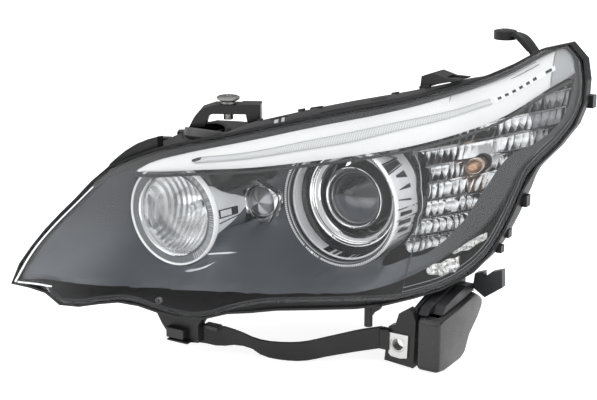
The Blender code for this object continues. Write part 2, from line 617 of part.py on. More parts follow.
# ------------------------------------------------------------------ projector (turns about Z)
projector_lens = turned("projector_lens", [
    (0, 245), (8, 245.7), (16, 247.9), (24, 251.8), (30, 256.2), (33, 259), (34.5, 259.8), (34.5, 262.2),
    (32.5, 263.6), (0, 263.6)], (LB[0], 0, LB[1]), GLASS, steps=30)
projector_lens_holder = turned("projector_lens_holder", [
    (34.6, 257.4), (36, 256), (39.2, 256.4), (39.8, 259), (39.8, 291), (37.6, 291), (37, 266), (35.1, 264.4),
    (35.1, 258.6)], (LB[0], 0, LB[1]), ALU, steps=32)
projector_reflector = turned("projector_reflector", [
    (38.8, 291.4), (41, 291.4), (41.4, 303), (38.4, 316), (32, 329), (23, 340), (15, 346), (13.4, 344.4),
    (21.4, 338.2), (30, 327.6), (36.2, 315), (38.8, 303)], (LB[0], 0, LB[1]), ALU, steps=32)
join(projector_reflector,
     cylinder("pin_top", 4, 19, (LB[0], SWIVEL_Y, LB[1] + 50), "Z", seg=16, helper=True),
     cylinder("pin_low", 4, 19, (LB[0], SWIVEL_Y, LB[1] - 50), "Z", seg=16, helper=True))
cut(projector_reflector, box("lever_slot", (8, 24, 20), (LB[0] - 14, 297, LB[1] - 38), helper=True))
hinge_z = LB[1] - 29
cutoff_shutter = outline("cutoff_shutter", [
    (-30, 27.6), (-8, 27.6), (-3, 30.4), (30, 30.4), (30, 25), (17, -1), (-11.6, -1.5), (-11.6, -22), (-16.4, -22),
    (-17, -1), (-30, 25)], 1.6, (LB[0], 294.6, hinge_z), "-Y", BLACK)
shutter_solenoid = turned("shutter_solenoid", [
    (3, 311.6), (7.5, 311.6), (7.5, 338), (0, 338), (0, 333), (3, 333)],
    (LB[0] - 14, 0, hinge_z - 20), STEEL, steps=20)
solenoid_plunger = turned("solenoid_plunger", [
    (0, 297.2), (2.6, 297.2), (2.6, 318), (0, 318)], (LB[0] - 14, 0, hinge_z - 20), STEEL, steps=12)
xenon_bulb = turned("xenon_bulb", [
    (0, 318), (2.4, 319), (3.6, 323), (3.6, 335), (2.4, 341), (7.6, 343), (7.6, 346.6), (17, 346.6), (17, 376),
    (0, 376)], (LB[0], 0, LB[1]), GLASS, steps=20)
join(xenon_bulb, box("igniter", (36, 30, 36), (LB[0], 390, LB[1]), helper=True))

# ------------------------------------------------------------------ carrier (tilts about X)
projector_carrier = box("projector_carrier", (124, 14, 124), (LB[0], SWIVEL_Y, LB[1]), ALU)
cut(projector_carrier, box("carrier_window", (106, 20, 106), (LB[0], SWIVEL_Y, LB[1]), helper=True))
join(projector_carrier,
     box("carrier_lug", (14, 8, 24), (LEVEL[0], SWIVEL_Y, LEVEL[1] + 3), helper=True),
     cyl_x("carrier_pin_in", 4, 251, 266, SWIVEL_Y, LB[1], helper=True),
     cyl_x("carrier_pin_out", 4, 388, 403, SWIVEL_Y, LB[1], helper=True))
cut(projector_carrier,
    cylinder("carrier_bore_top", 4.5, 16, (LB[0], SWIVEL_Y, LB[1] + 58), "Z", seg=16, helper=True),
    cylinder("carrier_bore_low", 4.5, 16, (LB[0], SWIVEL_Y, LB[1] - 58), "Z", seg=16, helper=True))
swivel_motor = box("swivel_motor", (24, 30, 20), (372.6, 322.6, 135.6), BLACK, bevel=2)
carrier_bracket_inner = box("carrier_bracket_inner", (12, 26, 22), (257, 302, LB[1]), BLACK)
cut(carrier_bracket_inner, cyl_x("inner_bore", 4.5, 240, 270, SWIVEL_Y, LB[1], helper=True))
carrier_bracket_outer = box("carrier_bracket_outer", (12, 112, 22), (397, 345, LB[1]), BLACK)
cut(carrier_bracket_outer, cyl_x("outer_bore", 4.5, 380, 410, SWIVEL_Y, LB[1], helper=True))
levelling_rod = turned("levelling_rod", [
    (0, 305), (4.4, 306.4), (5.6, 309.4), (4.4, 312.4), (3, 314), (3, 366), (0, 366)],
    (LEVEL[0], 0, LEVEL[1]), STEEL, steps=14)
levelling_motor = turned("levelling_motor", [
    (3.4, 338), (9, 338), (9, 362), (19.5, 364), (19.5, 398), (17, 400), (0, 400), (0, 376), (3.4, 376)],
    (LEVEL[0], 0, LEVEL[1]), BLACK, steps=24)
adjuster_screw_vertical = turned("adjuster_screw_vertical", [
    (0, 280), (4, 282), (4, 328), (9, 329), (9, 341), (7.6, 342), (0, 342)],
    (ADJ_V[0], 0, ADJ_V[1]), STEEL, steps=12)
adjuster_screw_horizontal = turned("adjuster_screw_horizontal", [
    (0, 372), (4, 374), (4, 422.6), (9, 423.6), (9, 435), (7.6, 436), (0, 436)],
    (ADJ_H[0], 0, ADJ_H[1]), STEEL, steps=12)
xenon_cover_seal = turned("xenon_cover_seal", [
    (54, LB_BACK + 0.5), (59.6, LB_BACK + 0.5), (59.6, LB_BACK + 3.4), (54, LB_BACK + 3.4)],
    (LB[0], 0, LB[1]), RUBBER, steps=30)
xenon_cover = turned("xenon_cover", [
    (60.6, LB_BACK - 16), (64, LB_BACK - 16), (64.6, LB_BACK + 5), (61, LB_BACK + 8), (0, LB_BACK + 8),
    (0, LB_BACK + 4), (60.6, LB_BACK + 4)], (LB[0], 0, LB[1]), BLACK, steps=30)
join(xenon_cover, box("lb_grip", (98, 12, 10), (LB[0], LB_BACK + 13, LB[1]), helper=True))

# ------------------------------------------------------------------ turn signal
turn_out = offset_loop(turn_loop, 3.0)
xs = np.linspace(384, 540, 18)
zs = np.linspace(30, 238, 20)
rows = [[(x, turn_y(x, z) + 2.2 * ((j % 2) - 0.5), z) for x in xs] for j, z in enumerate(zs)]
turn_reflector = shell(grid_mesh("turn_reflector", rows, CHROME), 1.8, 1.0)
modify(turn_reflector, outline("turn_outline", turn_out, 900, (0, 200, 0), helper=True), "INTERSECT")
cut(turn_reflector,
    cyl_y("turn_left_edge", LB_R + 3.4, 0, 500, LB, seg=40, helper=True),
    cyl_y("turn_bulb_hole", 12.5, 250, 420, TURN_BULB, seg=20, helper=True))
turn_bulb = turned("turn_bulb", [
    (0, 316), (6, 318.4), (8.8, 324), (8.8, 340), (7, 348), (7, 364.6), (0, 364.6)],
    (TURN_BULB[0], 0, TURN_BULB[1]), AMBER, steps=18)
turn_bulb_holder = turned("turn_bulb_holder", [
    (7.4, 352), (11, 352), (11, 366), (13, 367), (13, 377), (18.6, 377), (18.6, 382), (9, 382), (9, 400), (0, 400), (0, 365),
    (7.4, 365)], (TURN_BULB[0], 0, TURN_BULB[1]), BLACK, steps=24)
turn_holder_seal = turned("turn_holder_seal", [
    (13.4, 374.4), (17.4, 374.4), (17.4, 376.6), (13.4, 376.6)], (TURN_BULB[0], 0, TURN_BULB[1]), RUBBER, steps=24)
side_marker_reflector = strip("side_marker_reflector", [(440, 20), (455, 29), (468, 38), (475, 46)],
                              [(441, 10), (457, 14), (470, 22), (478, 31)], 10.0, 1.0, 2.0, GUIDE, 8, 2)

# ------------------------------------------------------------------ brackets and outer hardware
BRIDGE = Matrix.Rotation(math.radians(28), 4, "Z")
bridge_at = Vector((204, 176, 0))


def on_bridge(obj, u, v, z, axis="Z"):
    p = bridge_at + BRIDGE.to_3x3() @ Vector((u, v, 0))
    obj.matrix_basis = Matrix.Translation(Vector((p.x, p.y, z)) * MM) @ BRIDGE @ AXES[axis]
    return obj


upper_bridge_bracket = outline("upper_bridge_bracket", [
    (-52, 182), (-44, 197), (-35, 207), (-20, 212), (12, 212), (12, 213), (36, 213), (36, 192), (27, 190), (20, 191), (18, 201),
    (-22, 201), (-26, 199), (-31, 186)], 26, (0, 0, 0), "-Y", BLACK)
on_bridge(upper_bridge_bracket, 0, 0, 0, "-Y")
b = upper_bridge_bracket.modifiers.new("round", "BEVEL")
b.width, b.segments, b.limit_method, b.angle_limit = 1.6 * MM, 2, "ANGLE", math.radians(50)
cut(upper_bridge_bracket, on_bridge(cylinder("bolt_hole", 6.4, 40, (0, 0, 0), "Z", seg=20, helper=True),
                                    -4, 0, 205))
height_adjust_bolt = turned("height_adjust_bolt", [
    (0, -5.6), (4, -5.6), (5, -9.2), (12, -9.2), (14.2, -7.6), (14.2, -5.6), (8.6, -2.6), (9.2, -0.4),
    (6, -0.4), (6, 19), (0, 19)], (0, 0, 0), STEEL, axis="Z", steps=24)
on_bridge(height_adjust_bolt, -4, 0, 212)

hood_stop_socket = turned("hood_stop_socket", [
    (23, -11), (26, -12), (29, -11), (29.2, 10), (0, 10), (0, 7.6), (26, 7.6), (24.6, -4)], (0, 0, 0), BLACK,
    axis="Z", steps=30)
place(hood_stop_socket, SOCKET, "Z", SOCKET_TILT)
hub = cylinder("hub", 7.4, 16, SOCKET, "Z", seg=18, helper=True)
place(hub, SOCKET, "Z", SOCKET_TILT)
spoke_a = box("spoke_a", (52, 3, 13), SOCKET, helper=True, turn=SOCKET_TILT @ Matrix.Rotation(math.radians(62), 3, "Z"))
spoke_b = box("spoke_b", (52, 3, 13), SOCKET, helper=True, turn=SOCKET_TILT @ Matrix.Rotation(math.radians(-28), 3, "Z"))
join(hood_stop_socket, hub, spoke_a, spoke_b)
cut(hood_stop_socket, place(cylinder("hub_bore", 4.6, 14, SOCKET, "Z", seg=18, helper=True),
                            (SOCKET[0], SOCKET[1] - 1, SOCKET[2] + 6), "Z", SOCKET_TILT))

upper_mid_bracket = outline("upper_mid_bracket", [
    (390, 226), (392, 243), (406, 248), (425, 243), (442, 243), (442, 241.4), (428, 238.5), (414, 235)], 32, (0, 321, 0), "-Y", BLACK)
cut(upper_mid_bracket, box("mid_slot", (24, 18, 6), (434, 321, 244.5), helper=True))

upper_outer_bracket = outline("upper_outer_bracket", [
    (418, 273), (418, 279), (430, 283), (443, 283), (456, 280.5), (466, 275), (481, 262), (483, 255), (474, 250),
    (468, 252), (460, 259), (452, 266), (443, 272), (430, 273)], 28, (0, 462, 0), "-Y", BLACK)
cut(upper_outer_bracket, cylinder("arm_hole", 9, 40, (433, 461, 278), "Z", seg=20, helper=True))
arm_bushing = turned("arm_bushing", [(5.6, -6.6), (8.6, -6.6), (8.6, 6.6), (5.6, 6.6)], (433, 461, 278), STEEL,
                     axis="Z", steps=20)

strap_top = [(196, 88, -41), (215, 97, -43), (232, 105, -44), (254, 114, -50), (271, 122, -58), (287, 129, -61),
             (320, 144, -60), (352, 159, -51), (384, 173, -41), (408, 185, -36)]
strap_low = [(196, 88, -64), (215, 97, -66), (232, 105, -69), (247, 110, -66), (265, 119, -69), (280, 126, -79),
             (320, 144, -83), (352, 159, -75), (384, 173, -67), (408, 185, -62)]
t, l = spline(strap_top, 22), spline(strap_low, 22)
lower_strap = shell(grid_mesh("lower_strap", [t, l], BLACK), 5.0, 1.0)
join(lower_strap, outline("strap_foot", [
    (154, -24), (152, -34), (160, -47), (172, -62), (200, -64), (214, -62), (214, -40), (222, -28), (214, -26),
    (200, -24), (186, -22), (170, -22)], 14, (0, 92, 0), "-Y", helper=True))

lower_outer_bracket = outline("lower_outer_bracket", [
    (415, -34), (410, -77), (448, -80), (450, -22), (446, -12), (440, -8), (428, -16), (424, -30)], 12,
    (0, 193, 0), "-Y", BLACK)
cut(lower_outer_bracket, cyl_y("nut_hole", 8.5, 150, 240, (429, -53), seg=20, helper=True))
nut_plate = outline("nut_plate", [(418, -40), (442, -40), (441, -68), (432, -70), (420, -69), (417, -66)], 2.4,
                    (0, 185.4, 0), "-Y", STEEL)
cut(nut_plate, cyl_y("nut_bore", 7.2, 150, 240, (429, -53), seg=20, helper=True))
bracket_shield = outline("bracket_shield", [
    (186, -18), (186, -80), (207, -84), (250, -84), (263, -80), (275, -61), (298, -46), (311, -33), (311, -22),
    (288, -10), (240, -14), (200, -16)], 29, (466, 0, 0), "X", BLACK)
cut(bracket_shield, outline("shield_pocket", [
    (190, -10), (190, -77), (207, -80.4), (248, -80.4), (260, -77), (272, -59), (295, -43), (306, -32), (306, -10)],
    29, (463, 0, 0), "X", helper=True))
side_clip = outline("side_clip", [
    (474, -6), (476, 12), (487, 16), (488, 9), (497, 17), (511, 22), (512, 0), (490, -16)], 10, (0, 297, 0), "-Y", BLACK)
bracket_link = outline("bracket_link", [
    (204, -14.5), (240, -12.5), (287, -8.5), (291, -10), (291, 0), (270, 2.5), (240, -1), (214, -6)], 24, (464, 0, 0), "X", BLACK)

# ------------------------------------------------------------------ rear and underside
WALL = Matrix.Rotation(math.atan(BACK_B), 3, "Z")
wall_n = Vector((-BACK_B, 1, 0)).normalized()


def on_wall(x, z, out):
    """A point out millimetres behind the rear wall."""
    p = Vector((x, rear_plane(x), z)) + wall_n * (out + 0.6)
    return tuple(p)


main_connector = box("main_connector", (36, 26, 24), on_wall(234, 112, 13.6), BLACK, bevel=1.5, turn=WALL)
cut(main_connector, box("connector_mouth", (31, 20, 19), on_wall(234, 112, 20), helper=True, turn=WALL))
vent_cap = cylinder("vent_cap", 11, 9, (0, 0, 0), "-Y", RUBBER, 20)
place(vent_cap, on_wall(232, 58, 5.1), "-Y", WALL)
ballast = box("ballast", (96, 68, 24), (345, 322, -13), ALU, bevel=2)
join(ballast, box("ballast_socket", (26, 16, 14), (345, 360, -14), helper=True))
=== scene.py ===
"""Looks of the left car headlight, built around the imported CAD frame.

Design coordinates (mm) are those of the CAD source: X outwards, Y backwards, Z up, from the
inner tip of the cover lens.  The row frame is (design - ORIGIN) / 1000.
"""
import math

import bmesh
import bpy
import numpy as np
from mathutils import Matrix, Vector
from mathutils.geometry import delaunay_2d_cdt


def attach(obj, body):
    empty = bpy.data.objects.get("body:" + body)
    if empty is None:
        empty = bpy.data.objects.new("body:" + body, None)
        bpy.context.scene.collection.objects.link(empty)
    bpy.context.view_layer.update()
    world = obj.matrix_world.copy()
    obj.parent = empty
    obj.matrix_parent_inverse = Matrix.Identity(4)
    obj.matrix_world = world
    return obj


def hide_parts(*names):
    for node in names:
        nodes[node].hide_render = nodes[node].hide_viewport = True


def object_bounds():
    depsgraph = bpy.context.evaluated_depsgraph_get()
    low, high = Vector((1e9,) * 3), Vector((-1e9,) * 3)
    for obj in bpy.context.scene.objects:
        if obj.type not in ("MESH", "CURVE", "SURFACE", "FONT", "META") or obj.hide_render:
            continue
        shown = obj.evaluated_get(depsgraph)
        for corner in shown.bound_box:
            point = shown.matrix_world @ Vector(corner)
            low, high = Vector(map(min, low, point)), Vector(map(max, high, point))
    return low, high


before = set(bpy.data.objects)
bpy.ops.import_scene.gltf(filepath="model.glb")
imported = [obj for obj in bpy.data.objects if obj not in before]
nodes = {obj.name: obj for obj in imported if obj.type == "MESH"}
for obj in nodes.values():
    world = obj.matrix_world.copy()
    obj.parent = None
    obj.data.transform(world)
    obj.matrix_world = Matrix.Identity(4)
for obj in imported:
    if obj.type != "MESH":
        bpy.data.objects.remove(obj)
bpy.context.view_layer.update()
MM = 0.001
ORIGIN = np.array((222.0, 185.5, 213.0))
HB, LB, CL = (159.0, 82.0), (327.0, 93.0), (228.0, 87.5)
HB_R, LB_R, CL_R = 63.0, 78.0, 20.6
LB_BACK, HB_BACK = 446.0, 318.0
TURN_BULB = (455.0, 135.0)
SOCKET = (181.0, 158.0, 168.0)
BACK_A, BACK_B = 225.0, 0.62

# ------------------------------------------------------------------ curves shared with the CAD source
LENS_EDGE = [(0, 0), (20, 41), (40, 70), (66, 101), (96, 138), (121, 151), (159, 166), (207, 177),
             (248, 187), (323, 205), (403, 222), (468, 245), (505, 270), (519, 273), (533, 262),
             (543, 236), (548, 213), (547, 187), (538, 163), (526, 145), (517, 129), (513, 106),
             (506, 72), (496, 42), (483, 24), (464, 10), (443, 3), (422, -1), (385, 0), (336, 1),
             (298, 0), (268, -7), (249, -14), (228, -17), (206, -15), (182, -9), (152, -3),
             (122, -7), (97, -13), (73, -15), (56, -10), (43, 0), (20, 0)]
BEZEL_EDGE = [(9, 6), (27, 41), (47, 69), (72, 99), (102, 133), (124, 143), (160, 157), (207, 168),
              (248, 178), (323, 196), (403, 213), (468, 236), (503, 259), (518, 262), (527, 252),
              (536, 232), (540, 209), (539, 187), (530, 166), (519, 149), (506, 131), (498, 100),
              (484, 69), (454, 39), (424, 20), (397, 10), (370, 6), (334, 7), (296, 7), (264, 9),
              (232, 10), (176, 9), (115, 7), (63, 6.5), (36, 7)]
BROW_TOP = [(129, 139), (143, 148), (181, 160), (248, 176), (305, 190), (386, 208), (436, 226),
            (468, 240), (490, 254), (508, 266)]
BROW_LOW = [(133, 137), (160, 139), (203, 143), (257, 147), (306, 153), (352, 159), (397, 166),
            (439, 177), (479, 194), (513, 223)]
CAP_TOP = [(509, 266.7), (515, 266), (522, 259), (527, 250)]
CAP_LOW = [(514, 223.5), (520, 228.5), (526, 233), (531, 238)]
GUIDE_TOP = [(196, 156), (253, 164), (301, 175), (347, 185), (390, 195), (433, 204.5), (464, 215)]
GUIDE_LOW = [(195, 151), (254, 158), (303, 167), (349, 175.5), (392, 187), (428, 196), (467, 210)]
TURN_WINDOW = [(398, 36), (422, 42), (436, 45), (447, 54), (462, 74), (477, 112), (487, 140),
               (494, 150), (511, 160), (524, 174), (530, 188), (532, 205), (527, 231), (500, 218),
               (470, 198), (439, 184), (404, 173), (386, 168)]
HB_RIM = ([-180, -20, -12, -6, 0, 14, 22, 30, 40, 60, 180], [117, 118, 128, 158, 170, 170, 155, 136, 124, 119, 117])
LB_RIM = ([-180, -60, -46, -36, -28, 38, 48, 58, 80, 180], [223, 224, 230, 258, 279, 279, 254, 234, 225, 223])


def lens_y(x, z):
    return 0.10 * x + 0.0004 * x * x + 1.0e-6 * x ** 3 + 0.25 * z + 0.0011 * z * abs(z)


def slope(x, z):
    gx = 0.10 + 0.0008 * x + 3.0e-6 * x * x
    gz = 0.25 + 0.0022 * abs(z)
    return np.sqrt(1 + gx * gx + gz * gz)


def behind(x, z, d):
    return lens_y(x, z) + d * slope(x, z)


def smooth(t):
    t = np.clip(t, 0, 1)
    return t * t * (3 - 2 * t)


def spline(points, n, closed=False):
    p = [np.array(q, float) for q in points]
    p = [p[-1], *p, p[0], p[1]] if closed else [2 * p[0] - p[1], *p, 2 * p[-1] - p[-2]]
    out = []
    for i in range(1, len(p) - 2):
        a, b, c, d = p[i - 1:i + 3]
        t = [0.0]
        for u, v in ((a, b), (b, c), (c, d)):
            t.append(t[-1] + max(1e-6, float(np.linalg.norm(v - u))) ** 0.5)
        for s in np.linspace(t[1], t[2], 16, endpoint=False):
            a1 = (t[1] - s) / (t[1] - t[0]) * a + (s - t[0]) / (t[1] - t[0]) * b
            a2 = (t[2] - s) / (t[2] - t[1]) * b + (s - t[1]) / (t[2] - t[1]) * c
            a3 = (t[3] - s) / (t[3] - t[2]) * c + (s - t[2]) / (t[3] - t[2]) * d
            b1 = (t[2] - s) / (t[2] - t[0]) * a1 + (s - t[0]) / (t[2] - t[0]) * a2
            b2 = (t[3] - s) / (t[3] - t[1]) * a2 + (s - t[1]) / (t[3] - t[1]) * a3
            out.append((t[2] - s) / (t[2] - t[1]) * b1 + (s - t[1]) / (t[2] - t[1]) * b2)
    out.append(p[-2] if not closed else out[0])
    out = np.array(out)
    run = np.concatenate([[0], np.cumsum(np.linalg.norm(np.diff(out, axis=0), axis=1))])
    want = np.linspace(0, run[-1], n, endpoint=not closed)
    return np.stack([np.interp(want, run, out[:, k]) for k in range(out.shape[1])], 1)


def offset_loop(loop, d):
    nxt, prv = np.roll(loop, -1, 0), np.roll(loop, 1, 0)
    t = nxt - prv
    t /= np.linalg.norm(t, axis=1)[:, None]
    n = np.stack([-t[:, 1], t[:, 0]], 1)
    area = 0.5 * np.sum(loop[:, 0] * nxt[:, 1] - nxt[:, 0] * loop[:, 1])
    return loop + n * (d if area < 0 else -d)


def inside(loop, x, z):
    """Which of the points (x, z) lie inside a closed loop."""
    hit = np.zeros(np.shape(x), bool)
    for (x0, z0), (x1, z1) in zip(loop, np.roll(loop, -1, 0)):
        if z0 == z1:
            continue
        cross = (z0 > z) != (z1 > z)
        hit ^= cross & (x < (x1 - x0) * (z - z0) / (z1 - z0) + x0)
    return hit


# ------------------------------------------------------------------ materials
class Nodes:
    """A short way to wire shader nodes."""

    def __init__(self, name):
        self.m = bpy.data.materials.new(name)
        self.m.use_nodes = True
        self.nt = self.m.node_tree
        self.b = self.nt.nodes["Principled BSDF"]
        self.out = self.nt.nodes["Material Output"]
        self.co = self.add("ShaderNodeTexCoord").outputs["Object"]

    def add(self, kind, **values):
        n = self.nt.nodes.new(kind)
        for k, v in values.items():
            if k in n.inputs:
                n.inputs[k].default_value = v
            else:
                setattr(n, k, v)
        return n

    def link(self, a, b):
        self.nt.links.new(a, b)

    def noise(self, scale, detail=2.0, rough=0.5, co=None):
        n = self.add("ShaderNodeTexNoise", Scale=scale, Detail=detail, Roughness=rough)
        self.link(co or self.co, n.inputs["Vector"])
        return n.outputs["Fac"]

    def ramp(self, fac, lo, hi, a=0.0, b=1.0):
        n = self.add("ShaderNodeMapRange")
        n.inputs["From Min"].default_value, n.inputs["From Max"].default_value = a, b
        n.inputs["To Min"].default_value, n.inputs["To Max"].default_value = lo, hi
        self.link(fac, n.inputs["Value"])
        return n.outputs["Result"]

    def mix(self, fac, a, b):
        n = self.add("ShaderNodeMix", data_type="RGBA")
        if isinstance(fac, float):
            n.inputs[0].default_value = fac
        else:
            self.link(fac, n.inputs[0])
        for s, v in ((n.inputs[6], a), (n.inputs[7], b)):
            if isinstance(v, tuple):
                s.default_value = (*v, 1.0)
            else:
                self.link(v, s)
        return n.outputs[2]

    def bump(self, height, strength, dist=0.0003, into=None):
        n = self.add("ShaderNodeBump", Strength=strength, Distance=dist)
        self.link(height, n.inputs["Height"])
        if into is not None:
            self.link(into, n.inputs["Normal"])
        self.link(n.outputs["Normal"], self.b.inputs["Normal"])
        return n.outputs["Normal"]

    def set(self, **values):
        for k, v in values.items():
            k = k.replace("_", " ")
            s = self.b.inputs[k]
            if isinstance(v, (bpy.types.NodeSocket,)):
                self.link(v, s)
            else:
                s.default_value = (*v, 1.0) if isinstance(v, tuple) else v
        return self


def scaled(c, k):
    return tuple(min(1.0, v * k) for v in c)


def plastic(name, colour, rough, grain=900.0, depth=0.25, dist=0.00025, vary=0.18, coat=0.0, spec=0.5):
    """Moulded plastic: an eroded grain, a faint cloudiness, and dust in the flats."""
    n = Nodes(name)
    cloud = n.noise(14.0, 4.0)
    streak = n.noise(60.0, 3.0)
    tone = n.mix(n.ramp(cloud, 0.0, 1.0, 0.3, 0.7), scaled(colour, 1 - vary), scaled(colour, 1 + vary))
    tone = n.mix(n.ramp(streak, 0.0, 0.3, 0.45, 0.8), tone, scaled(colour, 1.0 + 1.6 * vary))
    fine = n.noise(grain, 3.0, 0.6)
    n.set(Base_Color=tone, Roughness=n.ramp(n.noise(35.0, 3.0), rough - 0.06, rough + 0.07, 0.3, 0.7))
    if depth:
        n.bump(fine, depth, dist)
    n.set(Specular_IOR_Level=spec)
    if coat:
        n.set(Coat_Weight=coat, Coat_Roughness=0.15)
    return n.m


def metal(name, colour, rough, brushed=0.0, grain=0.0, spread=0.05):
    n = Nodes(name)
    smudge = n.noise(28.0, 4.0, 0.6)
    n.set(Base_Color=n.mix(n.ramp(n.noise(9.0, 3.0), 0, 1, 0.3, 0.7), scaled(colour, 0.93), scaled(colour, 1.05)),
          Metallic=1.0, Roughness=n.ramp(smudge, max(0.01, rough - spread), rough + spread, 0.3, 0.75))
    if brushed:
        stretch = n.add("ShaderNodeMapping")
        stretch.inputs["Scale"].default_value = (120.0, 120.0, 2600.0)
        n.link(n.co, stretch.inputs["Vector"])
        n.bump(n.noise(1.0, 3.0, 0.6, co=stretch.outputs["Vector"]), brushed, 0.0001)
    if grain:
        n.bump(n.noise(1400.0, 4.0, 0.65), grain, 0.0002)
    return n.m


def see_through(name, tint, rough=0.02, strength=1.0, ior=1.5, bump=None, haze=0.0):
    """A clear moulding: what lies behind shows straight through, with gloss by angle."""
    n = Nodes(name)
    clear = n.add("ShaderNodeBsdfTransparent", Color=(*tint, 1.0))
    gloss = n.add("ShaderNodeBsdfGlossy", Color=(1, 1, 1, 1), Roughness=rough)
    fres = n.add("ShaderNodeFresnel", IOR=ior)
    if bump:
        height = bump(n)
        bn = n.add("ShaderNodeBump", Strength=0.5, Distance=0.0006)
        n.link(height, bn.inputs["Height"])
        n.link(bn.outputs["Normal"], gloss.inputs["Normal"])
        n.link(bn.outputs["Normal"], fres.inputs["Normal"])
    fac = n.add("ShaderNodeMath", operation="MULTIPLY")
    n.link(fres.outputs["Fac"], fac.inputs[0])
    fac.inputs[1].default_value = strength
    mix = n.add("ShaderNodeMixShader")
    n.link(fac.outputs[0], mix.inputs["Fac"])
    n.link(clear.outputs[0], mix.inputs[1])
    n.link(gloss.outputs[0], mix.inputs[2])
    last = mix.outputs[0]
    if haze:
        white = n.add("ShaderNodeBsdfDiffuse", Color=(0.8, 0.82, 0.84, 1))
        more = n.add("ShaderNodeMixShader")
        more.inputs["Fac"].default_value = haze
        n.link(last, more.inputs[1])
        n.link(white.outputs[0], more.inputs[2])
        last = more.outputs[0]
    n.link(last, n.out.inputs["Surface"])
    n.nt.nodes.remove(n.b)
    return n.m


def waves(direction, scale):
    def height(n):
        w = n.add("ShaderNodeTexWave", wave_type="BANDS", bands_direction=direction)
        w.inputs["Scale"].default_value = scale
        n.link(n.co, w.inputs["Vector"])
        return w.outputs["Fac"]
    return height


BLACK = plastic("black_moulding", (0.009, 0.009, 0.010), 0.36, 900, 0.2, 0.0002, spec=0.32)
DARK = plastic("dark_moulding", (0.022, 0.023, 0.026), 0.34, 900, 0.15, 0.0002, spec=0.4)
BLACK_GLOSS = plastic("black_smooth", (0.012, 0.012, 0.013), 0.22, 300, 0.05)
BEZEL = plastic("anthracite_satin", (0.074, 0.082, 0.094), 0.34, 300, 0.0, 0.00005, 0.03)
FLANGE = plastic("flange_grey", (0.02, 0.02, 0.022), 0.38, 900, 0.15, spec=0.35)
RUBBER = plastic("rubber", (0.014, 0.014, 0.014), 0.7, 500, 0.35, 0.0003, 0.25)
def outwards(m, start, stop, dim):
    """Dims a plain material with distance outwards (design X)."""
    nt = m.node_tree
    b = nt.nodes["Principled BSDF"]
    was = b.inputs["Base Color"].links[0].from_socket
    co, sep = nt.nodes.new("ShaderNodeTexCoord"), nt.nodes.new("ShaderNodeSeparateXYZ")
    nt.links.new(co.outputs["Object"], sep.inputs[0])
    r = nt.nodes.new("ShaderNodeMapRange")
    r.interpolation_type = "SMOOTHSTEP"
    r.inputs["From Min"].default_value, r.inputs["From Max"].default_value = (start - 222) * MM, (stop - 222) * MM
    nt.links.new(sep.outputs["X"], r.inputs["Value"])
    mix = nt.nodes.new("ShaderNodeMix")
    mix.data_type = "RGBA"
    mix.inputs[7].default_value = (*dim, 1)
    nt.links.new(r.outputs["Result"], mix.inputs[0])
    nt.links.new(was, mix.inputs[6])
    nt.links.new(mix.outputs[2], b.inputs["Base Color"])


outwards(BEZEL, 385, 480, (0.022, 0.024, 0.028))
CHROME = metal("chrome", (0.9, 0.905, 0.91), 0.06)
SATIN = metal("satin_metal", (0.82, 0.83, 0.84), 0.24)
STEEL = metal("zinc_steel", (0.24, 0.24, 0.235), 0.34, brushed=0.1)
TURN = metal("turn_chrome", (0.62, 0.63, 0.64), 0.17, spread=0.08)
TURN_DARK = metal("turn_chrome_dark", (0.2, 0.205, 0.215), 0.2, spread=0.08)
PLATE = metal("nut_plate_steel", (0.58, 0.58, 0.57), 0.4, grain=0.2)
ALU = metal("cast_aluminium", (0.36, 0.36, 0.37), 0.42, grain=0.35)
SHIELD = plastic("shield_grey", (0.014, 0.014, 0.015), 0.27, 900, 0.06, 0.0001, spec=0.42)
BRASS = metal("contact_brass", (0.72, 0.53, 0.26), 0.3)
LENS = see_through("clear_cover", (0.985, 0.988, 0.99), 0.03, 0.45)
CLEAR = see_through("clear_disc", (0.97, 0.975, 0.98), 0.05, 0.8)
GLASS = see_through("bulb_glass", (0.95, 0.96, 0.97), 0.02, 1.2)


def silver():
    n = Nodes("silver_paint")
    flake = n.noise(2600.0, 2.0, 0.7)
    n.set(Base_Color=n.mix(n.ramp(n.noise(6.0, 2.0), 0, 1, 0.35, 0.65), (0.66, 0.665, 0.67), (0.71, 0.71, 0.71)),
          Metallic=0.0, Roughness=n.ramp(flake, 0.26, 0.36, 0.3, 0.7), Coat_Weight=0.3, Coat_Roughness=0.08)
    n.bump(flake, 0.04, 0.0001)
    return n.m


def guide(name, colour, scale, direction="X", depth=0.5, alpha_like=0.0):
    """Frosted light guide with fine decoupling lines."""
    n = Nodes(name)
    w = waves(direction, scale)(n)
    n.set(Base_Color=n.mix(n.ramp(w, 0.0, 1.0), scaled(colour, 0.72), colour), Roughness=0.16,
          Coat_Weight=0.6, Coat_Roughness=0.05, IOR=1.5)
    n.bump(w, depth, 0.0004)
    return n.m


SILVER = silver()
CAP = plastic("end_cap_grey", (0.34, 0.35, 0.36), 0.3, 1500, 0.05, 0.0001, 0.06)
GUIDE_BAR = guide("brow_light_guide", (0.60, 0.61, 0.62), 140.0, depth=0.5)
RING_WHITE_GLOW = guide("ring_white_painted_glow", (0.93, 0.94, 0.95), 300.0, "Z", 0.15)
# Painted glow: a faint emission lifts this white, on the halo rings and on the lens glint strips.
RING_WHITE_GLOW.node_tree.nodes["Principled BSDF"].inputs["Emission Color"].default_value = (1, 1, 1, 1)
RING_WHITE_GLOW.node_tree.nodes["Principled BSDF"].inputs["Emission Strength"].default_value = 0.18
TICK = guide("ring_tick", (0.5, 0.51, 0.53), 260.0, "Z", 0.3)
RING_GREY = guide("ring_band", (0.17, 0.18, 0.19), 260.0, "Z", 0.3)
WHITE = plastic("white_reflector", (0.80, 0.81, 0.82), 0.2, 400, 0.2, 0.0002, 0.06, coat=0.5)


